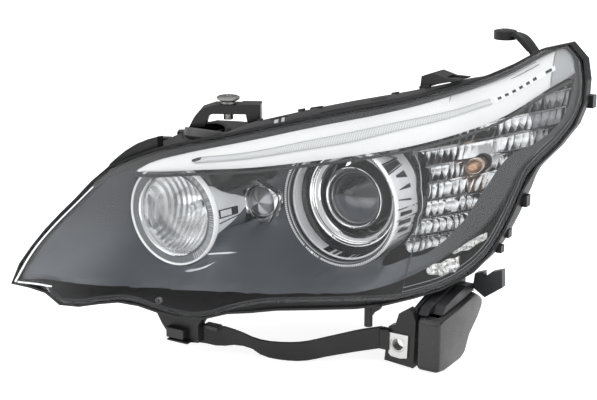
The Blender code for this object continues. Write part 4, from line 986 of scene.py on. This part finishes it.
def on_drum(name, quads, centre, rad, mats, lift=0.35, **kw):
    """Thin patches lying on a drum, each a four-cornered outline of (angle, y)."""
    made = []
    for q in quads:
        (a0, y0), (a1, y1), (a2, y2), (a3, y3) = q
        rr, cc = 10, 10
        f = np.zeros((rr, cc, 3))
        g = np.zeros((rr, cc, 3))
        for i in range(rr):
            for j in range(cc):
                u, v = i / (rr - 1), j / (cc - 1)
                a = math.radians((a0 * (1 - v) + a1 * v) * (1 - u) + (a3 * (1 - v) + a2 * v) * u)
                y = (y0 * (1 - v) + y1 * v) * (1 - u) + (y3 * (1 - v) + y2 * v) * u
                for grid, r in ((f, rad + lift), (g, rad - 0.5)):
                    grid[i, j] = (centre[0] + r * math.cos(a), y, centre[1] + r * math.sin(a))
        made.append(plate(name + str(len(made)), f, g, mats, body=None))
    return joined(name, made, **kw)


# Painted highlight: a tapering band of bright drum white on the anthracite outside of the tube.
on_drum("high_beam_tube_painted_highlight", [[(40, 120.5), (-15, 120.5), (-12, 131.5), (35, 131.5)], [(35, 131.5), (-12, 131.5), (-6, 152), (24, 152)],
                                 [(24, 152), (-6, 152), (4, 177), (15, 177)]], HB, 62.8, [DRUM], slot="chrome")
on_drum("high_beam_tube_slot", [[(11.3, 121), (1.6, 121), (-0.2, 160), (8.7, 160)], [(-3.0, 121), (-4.2, 121), (-2.4, 165), (-1.6, 165)]],
        HB, 63.0, [BLACK_GLOSS], lift=0.5, slot="black_plastic")
on_drum("high_beam_tube_insert", [[(9.9, 124), (3.0, 124), (1.6, 146), (8.2, 146)]], HB, 63.3, [DRUM], lift=0.5, slot="chrome")


# ------------------------------------------------------------------ cornering lamp
def squarish(k_from, k_to, size, power=4.0, twist=12.0):
    """Turns a round section into a rounded square."""
    def wob(k, th):
        if k_from <= k <= k_to:
            a = th + math.radians(twist)
            r = size / (np.abs(np.cos(a)) ** power + np.abs(np.sin(a)) ** power) ** (1 / power)
            return r - size, 0 * th
        return 0 * th, 0 * th
    return wob


lathe("cornering_cup", [(17.8, 204.6), (18.6, 203.2), (19.6, 203.8), (20.4, 205.4), (20.6, 209), (20.6, 212), (15, 219), (7, 226),
                        (0, 226), (0, 224.6), (3, 224.4), (6, 223.6), (10, 220.8), (13.6, 217.2), (16, 213.8), (17.4, 210)],
      CL, [CHROME], 120, replaces=["cornering_lamp_cup"], slot="chrome", sharp=30)
lathe("cornering_frame", [(20.9, 205), (21.0, 200.0), (22.0, 198.6), (22.8, 199.2), (23.4, 200.6), (24.2, 200.0), (25.0, 201.2), (26.0, 203.0),
                          (26.4, 206.0), (20.9, 207.5)],
      CL, [CHROME, DARK, SATIN], 200, idx=[0, 0, 0, 1, 1, 2, 0, 0, 0, 0], wob=squarish(3, 8, 23.8, 4.5, 24.0), slot="chrome", sharp=25)
lathe("cornering_lens", [(0, 196.4), (5, 196.9), (9, 198.2), (13, 200.6), (15.8, 203.4), (17.0, 205.6), (17.0, 208.4), (12, 208.6), (0, 208.4)],
      CL, [CORNER], 96, replaces=["cornering_lamp_lens"], slot="glass")

# ------------------------------------------------------------------ low beam surround
lathe("low_beam_halo", [(73.0, 223.6), (73.6, 222.4), (74.6, 221.6), (75.8, 220.4), (77.0, 220.4), (77.9, 221.8), (78, 227.4), (73, 227.4)],
      LB, [RING_WHITE_GLOW, RING_GREY, DARK], 360, idx=[1, 2, stripes(1.0, 0, 1), stripes(1.0, 0, 1), 0, 0, 0, 0], replaces=["low_beam_ring"],
      slot="light_guide", sharp=60)


def inside_wall(d):
    return 3 if 246 <= d <= 254 or 257 <= d <= 259 or 263 <= d <= 275 or 279 <= d <= 281 else (0 if 284 <= d <= 330 else 2)


lathe("low_beam_tube", [
    (72.8, 227.8), (72.9, 224.6), (71.6, 226.4), (70.8, 229.0), (70.6, 231.0), (68.6, 231.6), (68.2, 248), (69.4, 252), (75.4, 256), (75.8, 284),
    (77.8, 284), (77.8, 227.8)], LB, [CHROME, BEZEL, DRUM, BLACK_GLOSS], 360,
      idx=[1, 1, 3, 1, 2, inside_wall, inside_wall, 0, 0, 0, 2, 2], replaces=["low_beam_drum"], slot="chrome", sharp=25)
lathe("low_beam_cone", [(68.0, 247.0), (68.0, 250.5), (61.6, 257.2), (61.6, 254.2), (64.4, 250.2)], LB, [BLACK_GLOSS], 200,
      replaces=["low_beam_shroud"], slot="anthracite_plastic", sharp=40)
steps_prof = [(61.2, 255.0), (61.2, 258.6), (50.6, 267), (50.2, 286), (47.4, 286), (47.4, 268), (48.2, 264.6), (49.4, 264.4), (49.8, 262.0),
              (51.6, 260.6), (54.8, 258.6), (56.2, 258.2), (56.4, 256.6), (57.8, 256.0), (58.0, 255.2), (59.2, 254.2), (60.4, 254.0)]
lathe("low_beam_rings", steps_prof, LB, [CHROME, WHITE, DARK], 240, idx=[0, 0, 0, 0, 0, 0, 2, 0, 0, 1, 0, 2, 0, 2, 0, 0, 0],
      replaces=["low_beam_trim_ring"], slot="chrome", sharp=22)
# ribs and slots on the outside of the tube
slots = [[(44.0, 226), (44.4, 262), (39.6, 264), (35.8, 226)],
         [(31.6, 240), (33.1, 262), (26.4, 264), (29.6, 240)], [(19.2, 236), (20.8, 264), (17.0, 264), (18.6, 236)],
         [(11.2, 229), (7.9, 260), (6.0, 260), (10.4, 229)],
         [(-0.4, 232), (-3.0, 262), (-6.0, 262), (-4.4, 232)], [(-8.6, 230), (-10.5, 262), (-14.6, 262), (-12.6, 230)],
         [(-17.0, 234), (-19.5, 262), (-23, 262), (-20.4, 234)]]
on_drum("low_beam_tube_slots", slots, LB, 77.8, [DARK], slot="black_plastic")
frames = [[(45.4, 224), (45.8, 264), (44.6, 264), (44.2, 224)], [(35.2, 224), (38.8, 265), (37.8, 265), (34.2, 224)],
          [(3.4, 224), (1.0, 276), (-0.2, 276), (2.2, 224)], [(-6.4, 222), (-7.6, 276), (-8.8, 276), (-7.6, 222)],
          [(-15.0, 222), (-16.4, 276), (-17.8, 276), (-16.2, 222)], [(-24.6, 228), (-27, 272), (-28.4, 272), (-26, 228)]]
on_drum("low_beam_tube_ribs", frames, LB, 78.0, [CHROME], lift=1.0, slot="chrome")
base = [(-36, 281), (-12.5, 270), (-6, 277), (12.4, 275), (33.6, 291), (50, 295)]
arc = [[(a0, y0), (a1, y1), (a1, y1 + 4.5), (a0, y0 + 4.5)] for (a0, y0), (a1, y1) in zip(base, base[1:])]
on_drum("low_beam_base_rib", arc, LB, 79.0, [BLACK_GLOSS], lift=3.0, slot="black_plastic")
on_drum("low_beam_base_edge", [[(p, q + 4.6) for p, q in (c[0], c[1])] + [(p, q + 1.6) for p, q in (c[2], c[3])] for c in arc],
        LB, 79.2, [DRUM], lift=3.2, slot="chrome")

# ------------------------------------------------------------------ projector
lathe("condenser_lens", [(0, 245), (6, 245.4), (12, 246.6), (18, 248.8), (24, 252), (29, 255.6), (32.6, 258.8), (33.4, 259.4),
                         (34.5, 259.8), (34.5, 262.2), (32.5, 263.6), (0, 263.6)], LB, [PROJECTOR, RING_GREY], 160,
      idx=[0] * 7 + [1] * 4, body="projector", replaces=["projector_lens"], slot="glass")
lathe("lens_cage", [(34.7, 258.0), (35.6, 256.6), (36.4, 256.4), (37.0, 257.4), (37.8, 257.0), (38.8, 257.2), (39.4, 258.4), (39.8, 260.4),
                    (39.8, 291), (37.6, 291), (37, 266), (35.1, 264.4), (35.1, 258.8)], LB, [ALU, CHROME, DARK], 160,
      idx=[1, 1, 2, 1, 1, 0, 0, 0, 0, 0, 0, 0, 0], body="projector", replaces=["projector_lens_holder"], slot="aluminium", sharp=25)

# ------------------------------------------------------------------ turn signal
rng = np.random.default_rng(7)
xs_t, zs_t = np.linspace(380, 544, 330), np.linspace(26, 240, 400)
XT, ZT = np.meshgrid(xs_t, zs_t)
rise = ZT - 0.22 * (XT - 400)
band = (rise - 12) / 20.0
bi = np.floor(band).astype(int)
t = band - bi
scoop = 5.0 * (1 - (2 * t - 1) ** 2) - 1.5
cell_w = 7.2
ci = np.floor((XT + 3.0 * np.sin(bi * 1.7)) / cell_w).astype(int)
amp = rng.uniform(0.1, 1.25, (64, 200))
tilt = rng.uniform(-0.3, 0.3, (64, 200))
u = (XT + 3.0 * np.sin(bi * 1.7)) / cell_w - ci
A = amp[bi % 64, ci % 200]
Tl = tilt[bi % 64, ci % 200]
flutes = A * (1 - (2 * u - 1) ** 2) * 1.5 + Tl * (u - 0.5) * cell_w
flutes = flutes * (1 - smooth((t - 0.8) / 0.06)) + 3.2 * smooth((t - 0.84) / 0.05)
wall = lens_y(XT, ZT) + 90 - 0.5 * (XT - 405)
YT = wall + scoop - flutes
# the bulb sits in a round bowl of its own
for bx, bz, br in ((TURN_BULB[0], TURN_BULB[1], 30.0),):
    d = np.hypot(XT - bx, ZT - bz)
    k = smooth(1.25 - d / br)
    YT = YT * (1 - k) + (wall + 10 * (1 - (d / br) ** 2)) * k
# The reflector is darker chrome beyond a slanted line on its outer side.
turn_skin = plate("turn_signal_skin", np.stack([XT, YT, ZT], -1), np.stack([XT, YT + 3.2, ZT], -1), [TURN, TURN_DARK],
                  idx=lambda i, j: int((xs_t[j] - 494) + 0.35 * (zs_t[i] - 190) > 0), replaces=["turn_reflector"], slot="chrome", sharp=25)
big = spline(TURN_WINDOW, 200, closed=True)
boolean(turn_skin, [prism("turn_cut", offset_loop(big, 2.6), 900, (0, 200, 0), body=None)], "INTERSECT", 25)
boolean(turn_skin, [rod("tl", LB_R + 3.4, 0, 520, LB, steps=160, body=None),
                    rod("tb", 10.6, 240, 430, TURN_BULB, steps=64, body=None)], sharp=25)
lathe("turn_lamp", [(0, 312), (3.4, 312.8), (6.4, 315.6), (8.6, 320.6), (9.4, 327), (9, 335), (7.6, 344), (7, 350), (7, 364.6), (0, 364.6)],
      TURN_BULB, [AMBER, STEEL], 64, idx=[0] * 7 + [1] * 2, body="turn_holder", replaces=["turn_bulb"], slot="amber_glass")
strip("marker_reflector", [(441, 29), (446, 33.5), (452, 34), (458, 38), (463, 38), (467, 40)],
      [(444, 22), (450, 21), (456, 19.5), (461, 22.5), (466, 22), (469, 27)], 10.0, 1.2, 2.0, [REFLEX], 60, 8,
      replaces=["side_marker_reflector"], slot="light_guide")
strip("marker_strip", [(457, 46), (464, 51.5), (470, 53.5), (478, 59), (485, 62)], [(460, 40.5), (466, 43.5), (472, 44), (478, 49.5), (486, 54)],
      17.0, 1.0, 1.4, [REFLEX], 60, 6, slot="light_guide")

# ------------------------------------------------------------------ light lines inside the outer rim, and the wall behind it
sel = np.where((edge[:, 0] > 425) & (edge[:, 1] < 262))[0]
cut = int(np.where(np.diff(sel) > 1)[0][0]) + 1 if (np.diff(sel) > 1).any() else 0
sel = np.roll(sel, -cut)
for name, d0, d1, dep, mm in (("rim_line", 7.4, 8.1, 3.2, RING_GREY), ("rim_line_inner", 11.5, 12.4, 5.5, RING_GREY)):
    f = np.array([[(a, behind(e[0], e[1], dep), b) for (a, b), e in zip(offset_loop(edge, -d)[sel], edge[sel])] for d in (d0, (d0 + d1) / 2, d1)])
    plate(name, f, f + (0, 1.0, 0), [mm], slot="light_guide")
wall_sel = sel[(edge[sel][:, 1] < 150) & (edge[sel][:, 1] > 10)]
wrows = []
for d, dep in ((-2.5, 5.6), (-0.5, 10), (0.5, 15), (0.5, 21)):
    wrows.append([(a, behind(e[0], e[1], dep), b) for (a, b), e in zip(offset_loop(edge, d)[wall_sel], edge[wall_sel])])
wf = np.array(wrows)
plate("housing_side_wall", wf, wf + (-2.0, 0.8, 0), [DARK], slot="black_plastic")

# ------------------------------------------------------------------ ribs and small fittings on the housing
top_edge = [(192, 173.5), (207, 177), (248, 187), (323, 205), (403, 222), (452, 239)]
te = spline(top_edge, 140)
h = np.interp(te[:, 0], [192, 214, 240, 300, 350, 400, 436, 452], [0.5, 4, 9.5, 10.5, 10, 9, 5, 1.0])
web = []
for t in (0.0, 0.35, 0.7, 1.0):
    z = te[:, 1] - 3 + (h + 3) * t
    web.append(np.stack([te[:, 0], behind(te[:, 0], te[:, 1], 12) + 3.0 + 4.0 * t, z], 1))
web = np.array(web)
WEB = plastic("web_grey", (0.045, 0.045, 0.047), 0.45, 900, 0.2)
fits = [plate("web", web, web + (0, 2.0, 0), [WEB], body=None)]


def on_web(x0, x1, t0, t1, mat, out=0.6):
    """Small raised patch on the web's face."""
    xs_w = np.linspace(x0, x1, 8)
    g = []
    for t in (t0, t1):
        z_e = np.interp(xs_w, te[:, 0], te[:, 1])
        hh = np.interp(xs_w, te[:, 0], h)
        g.append(np.stack([xs_w, behind(xs_w, z_e, 12) + 3.0 + 4.0 * t - out, z_e - 3 + (hh + 3) * t], 1))
    g = np.array(g)
    return plate("patch", g, g + (0, out + 1.0, 0), [mat], body=None)


for x0, x1, t0, t1, mm in ((262, 266, 0.45, 0.75, SATIN), (269, 272, 0.4, 0.8, SATIN), (258, 274, 0.82, 0.92, BLACK_GLOSS),
                           (306, 392, 0.46, 0.54, BLACK_GLOSS), (352, 366, 0.72, 0.82, BLACK_GLOSS), (404, 418, 0.7, 0.95, BLACK_GLOSS)):
    fits.append(on_web(x0, x1, t0, t1, mm))
for x0, w, hh in ((286, 8, 3.4), (300, 16, 2.0), (372, 9, 2.2), (398, 14, 3.6), (424, 10, 3.0), (246, 6, 2.4)):
    z_e = float(np.interp(x0, te[:, 0], te[:, 1] + h))
    fits.append(block("clip", (w, 5, hh), (x0, behind(x0, z_e - 8, 12) + 9, z_e + hh / 2 - 0.6), [BLACK], Matrix.Rotation(-0.23, 3, "Y"), 0.5,
                      body=None))
joined("housing_web", fits, slot="black_plastic")
# small screw behind the skirt of the cover
lathe("skirt_screw", [(0, 45.2), (1.0, 45.0), (1.6, 45.3), (2.6, 45.5), (3.4, 45.0), (4.0, 45.3), (4.2, 46.6), (4.2, 49.0), (0, 49.0)],
      (186.2, -2.5), [STEEL, RING_GREY, DARK], 48, idx=[1, 2, 2, 1, 1, 1, 1, 1], slot="steel")
# inner edge of the skirt
sk = spline([(76, -10.5), (97, -8.5), (122, -2.8), (152, 1.0), (180, -4.4), (206, -10.4), (228, -12.3), (249, -9.4), (268, -2.4), (290, 3)], 120)
f = np.stack([np.stack([sk[:, 0], behind(sk[:, 0], sk[:, 1] + d, 4.2), sk[:, 1] + d], 1) for d in (0, 0.5, 1.0)])
plate("skirt_bead", f, f + (0, 1.2, 0), [BEZEL], slot="anthracite_plastic")

tilt = Matrix.Rotation(math.radians(-15), 3, "X")
lathe("socket_collar", [(25.5, -9.0), (26.0, -11.5), (28.5, -11.9), (29.6, -10.6), (29.6, -2.0), (27.0, 0.5), (25.5, 0.5)], (0, 0), [WEB], 96,
      axis="Z", turn=tilt, at=SOCKET, slot="black_plastic")
lathe("socket_hub_ring", [(5.2, -8.6), (6.6, -9.8), (8.2, -9.4), (8.6, -8.0), (8.6, -4), (5.2, -4)], (0, 0), [WEB], 64,
      axis="Z", turn=tilt, at=SOCKET, slot="black_plastic")

# ------------------------------------------------------------------ lower outer bracket's shield and its neighbours
shield = prism("shield", [(186, -18), (186, -80), (207, -84), (250, -84), (263, -80), (275, -61), (298, -46), (311, -33), (311, -22),
                          (288, -10), (240, -14), (200, -16)], 29, (466, 0, 0), "X", [SHIELD], rnd=6.0, seg=5,
               replaces=["bracket_shield"], slot="black_plastic")
boolean(shield, [prism("pocket", [(198, 10), (198, -74), (209, -77.4), (246, -77.4), (257, -74), (270, -56), (290, -41), (298, -32), (298, 10)],
                       19, (464.5, 0, 0), "X", body=None)], sharp=32)
near = [prism("bridge", [(192, -15), (298, -12), (298, 4), (262, 5), (226, -2), (200, -7)], 13, (456, 0, 0), "X", [BLACK], rnd=1.5, body=None),
        prism("gusset", [(190, -36), (206, -44), (240, -30), (296, -16), (300, 6), (232, 1), (196, -9)], 5, (445, 0, 0), "X", [BLACK], rnd=0.8,
              body=None),
        block("strap_joint", (13, 11, 25), (411.5, 187.5, -50), [BLACK], rnd=1.0, body=None),
        block("foot_box", (25, 16, 13), (185, 84.5, -53), [SHIELD], rnd=1.0, body=None),
        block("foot_lip", (30, 20, 2.4), (189, 86, -62.0), [BLACK], rnd=0.6, body=None),
        block("foot_step", (20, 12, 6), (226, 98, -43), [SHIELD], rnd=1.0, body=None)]
joined("bracket_fittings", near, slot="black_plastic")
lathe("nut_sleeve", [(7.5, 183.6), (8.4, 183.6), (9.6, 184.2), (9.6, 184.9), (8.4, 184.9), (8.4, 198.0), (7.5, 198.0)], (429, -53), [PLATE], 64,
      slot="steel")

# ------------------------------------------------------------------ upper outer arm: an eye on a bent strap
path = spline([(440, 281.5), (450, 281), (459, 277.5), (467, 270), (475, 260), (482, 253.5)], 60)
tg = np.gradient(path, axis=0)
tg /= np.linalg.norm(tg, axis=1)[:, None]
nm = np.stack([-tg[:, 1], tg[:, 0]], 1)
half = np.interp(np.linspace(0, 1, 60), [0, 0.15, 0.5, 1], [9.5, 10.5, 12.5, 13.5])
rows = []
for k in np.linspace(-1, 1, 7):
    q = path + nm * (1.2 * (1 - k * k) - 0.6)
    rows.append(np.stack([q[:, 0], 461.5 + half * k, q[:, 1]], 1))
f = np.array(rows)
g = f - np.stack([nm[:, 0], 0 * nm[:, 0], nm[:, 1]], 1)[None] * 3.6
arm = [plate("arm_strap", f, g, [BLACK], body=None),
       lathe("arm_eye", [(8.9, -6.2), (9.6, -5.4), (13.6, -5.4), (14.8, -4.4), (14.8, 5.2), (13.8, 6.2), (8.9, 6.2)], (433, 461), [BLACK], 72,
             axis="Z", at=(433, 461, 278.0), body=None),
       block("arm_rib", (30, 2.2, 5), (459, 450.5, 271.5), [BLACK], Matrix.Rotation(0.75, 3, "Y"), 0.5, body=None)]
from mathutils.bvhtree import BVHTree
shell_tree = BVHTree.FromObject(nodes["housing"], bpy.context.evaluated_depsgraph_get())
for px, py in ((477, 454), (480, 469)):
    hit = shell_tree.ray_cast((Vector((px, py, 249)) - Vector(ORIGIN)) * MM, Vector((0, 0, -1)), 0.2)
    if hit[0] is not None:
        low_z = hit[0].z / MM + ORIGIN[2]
        arm.append(block("arm_leg", (5, 9, 256 - low_z), (px, py, (256 + low_z) / 2 - 0.5), [BLACK], rnd=0.8, body=None))
        print("arm leg", px, py, round(low_z, 1))
joined("outer_arm", arm, replaces=["upper_outer_bracket"], slot="black_plastic")

# ------------------------------------------------------------------ materials of the CAD nodes that stay
KEEP = {
    BLACK: ["housing", "levelling_motor", "swivel_motor", "carrier_bracket_inner", "carrier_bracket_outer", "xenon_cover",
            "high_beam_cover", "turn_bulb_holder", "upper_mid_bracket", "lower_strap",
            "lower_outer_bracket", "bracket_link", "main_connector", "hood_stop_socket", "upper_bridge_bracket"],
    DARK: ["side_clip", "cutoff_shutter"],
    STEEL: ["height_adjust_bolt", "arm_bushing", "shutter_solenoid", "solenoid_plunger", "levelling_rod",
            "adjuster_screw_vertical", "adjuster_screw_horizontal"],
    PLATE: ["nut_plate"],
    RUBBER: ["xenon_cover_seal", "high_beam_cover_seal", "turn_holder_seal", "vent_cap"],
    ALU: ["projector_reflector", "projector_carrier", "ballast"],
    GLASS: ["xenon_bulb"],
}
for m, names in KEEP.items():
    for n in names:
        o = nodes[n]
        o.data.materials.clear()
        o.data.materials.append(m)
        o.data.shade_smooth()
        o.data.set_sharp_from_angle(angle=math.radians(32))
for n, w in {"lower_outer_bracket": 1.0, "side_clip": 1.0, "upper_mid_bracket": 1.0,
             "lower_strap": 0.9, "bracket_link": 1.0, "nut_plate": 0.5,
             "upper_bridge_bracket": 0.4, "ballast": 0.6}.items():
    bevel(nodes[n], w, 3, 40)

# ------------------------------------------------------------------ stage, light, camera
floor_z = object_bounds()[0].z - 0.002
bpy.ops.mesh.primitive_circle_add(vertices=96, radius=9.0, fill_type="NGON", location=(0.1, 0.1, floor_z))
floor = bpy.context.object
floor.name = "floor"
fm = Nodes("floor")
face = fm.add("ShaderNodeLayerWeight", Blend=0.5)
fm.set(Base_Color=(0.55, 0.55, 0.55), Roughness=0.8, Emission_Color=(1.0, 1.0, 1.0),
       Emission_Strength=fm.ramp(face.outputs["Facing"], 0.12, 0.86, 0.3, 0.62))
fm.b.inputs["Specular IOR Level"].default_value = 0.0
floor.data.materials.append(fm.m)

world = bpy.data.worlds.new("studio")
bpy.context.scene.world = world
world.use_nodes = True
wn = world.node_tree
bg = wn.nodes["Background"]
direction = wn.nodes.new("ShaderNodeTexCoord").outputs["Generated"]


def glow(vec, start, stop, lo, hi):
    """Soft patch of sky round a direction."""
    d = wn.nodes.new("ShaderNodeVectorMath")
    d.operation = "DOT_PRODUCT"
    d.inputs[1].default_value = Vector(vec).normalized()
    wn.links.new(direction, d.inputs[0])
    r = wn.nodes.new("ShaderNodeMapRange")
    r.interpolation_type = "SMOOTHSTEP"
    for k, v in (("From Min", start), ("From Max", stop), ("To Min", lo), ("To Max", hi)):
        r.inputs[k].default_value = v
    wn.links.new(d.outputs["Value"], r.inputs["Value"])
    return r.outputs["Result"]


def total(a, b):
    m = wn.nodes.new("ShaderNodeMath")
    m.operation = "ADD"
    wn.links.new(a, m.inputs[0])
    wn.links.new(b, m.inputs[1])
    return m.outputs[0]


sky = total(total(glow((0, 0, 1), 0.3, 0.8, 0.30, 1.25), glow((-0.62, -0.72, 0.42), 0.82, 0.97, 0.0, 1.3)),
            total(glow((0.98, -0.18, 0.3), 0.8, 0.97, 0.0, 0.9), glow((0.5, -0.82, 0.26), 0.35, 0.95, 0.0, 0.35)))
wn.links.new(sky, bg.inputs[1])
bg.inputs[0].default_value = (1, 1, 1, 1)


def area(name, at, to, size, power, size_y=None):
    d = bpy.data.lights.new(name, "AREA")
    d.energy, d.size, d.shape = power, size, "RECTANGLE"
    d.size_y = size_y or size
    o = bpy.data.objects.new(name, d)
    o.location = at
    o.rotation_euler = (Vector(to) - Vector(at)).to_track_quat("-Z", "Y").to_euler()
    o.visible_glossy = False
    bpy.context.scene.collection.objects.link(o)
    return o


area("top_soft", (0.1, -0.3, 1.6), (0.05, 0.0, -0.1), 1.6, 12, 1.2)
area("left_soft", (-1.2, -1.5, 0.7), (0.0, 0.0, -0.1), 0.9, 12, 1.4)
area("right_soft", (1.9, -0.9, 0.5), (0.15, 0.1, -0.1), 0.6, 8, 1.6)

A_, E_ = math.radians(31.5), math.radians(15)
R_ = Vector((math.cos(A_), math.sin(A_), 0))
U_ = Vector((-math.sin(A_) * math.sin(E_), math.cos(A_) * math.sin(E_), math.cos(E_)))
B_ = Vector((math.sin(A_) * math.cos(E_), -math.cos(A_) * math.cos(E_), math.sin(E_)))
cam = bpy.data.cameras.new("camera")
cam.sensor_width, cam.lens = 36, 78.4
cam.clip_start, cam.clip_end = 0.01, 50
camera = bpy.data.objects.new("camera", cam)
bpy.context.scene.collection.objects.link(camera)
m = Matrix((R_, U_, B_)).transposed().to_4x4()
m.translation = (Vector((291.6, 186.4, 102.0)) + B_ * 1550 - Vector(ORIGIN)) * MM
camera.matrix_world = m
bpy.context.scene.camera = camera
bpy.context.scene.view_settings.view_transform = "Standard"
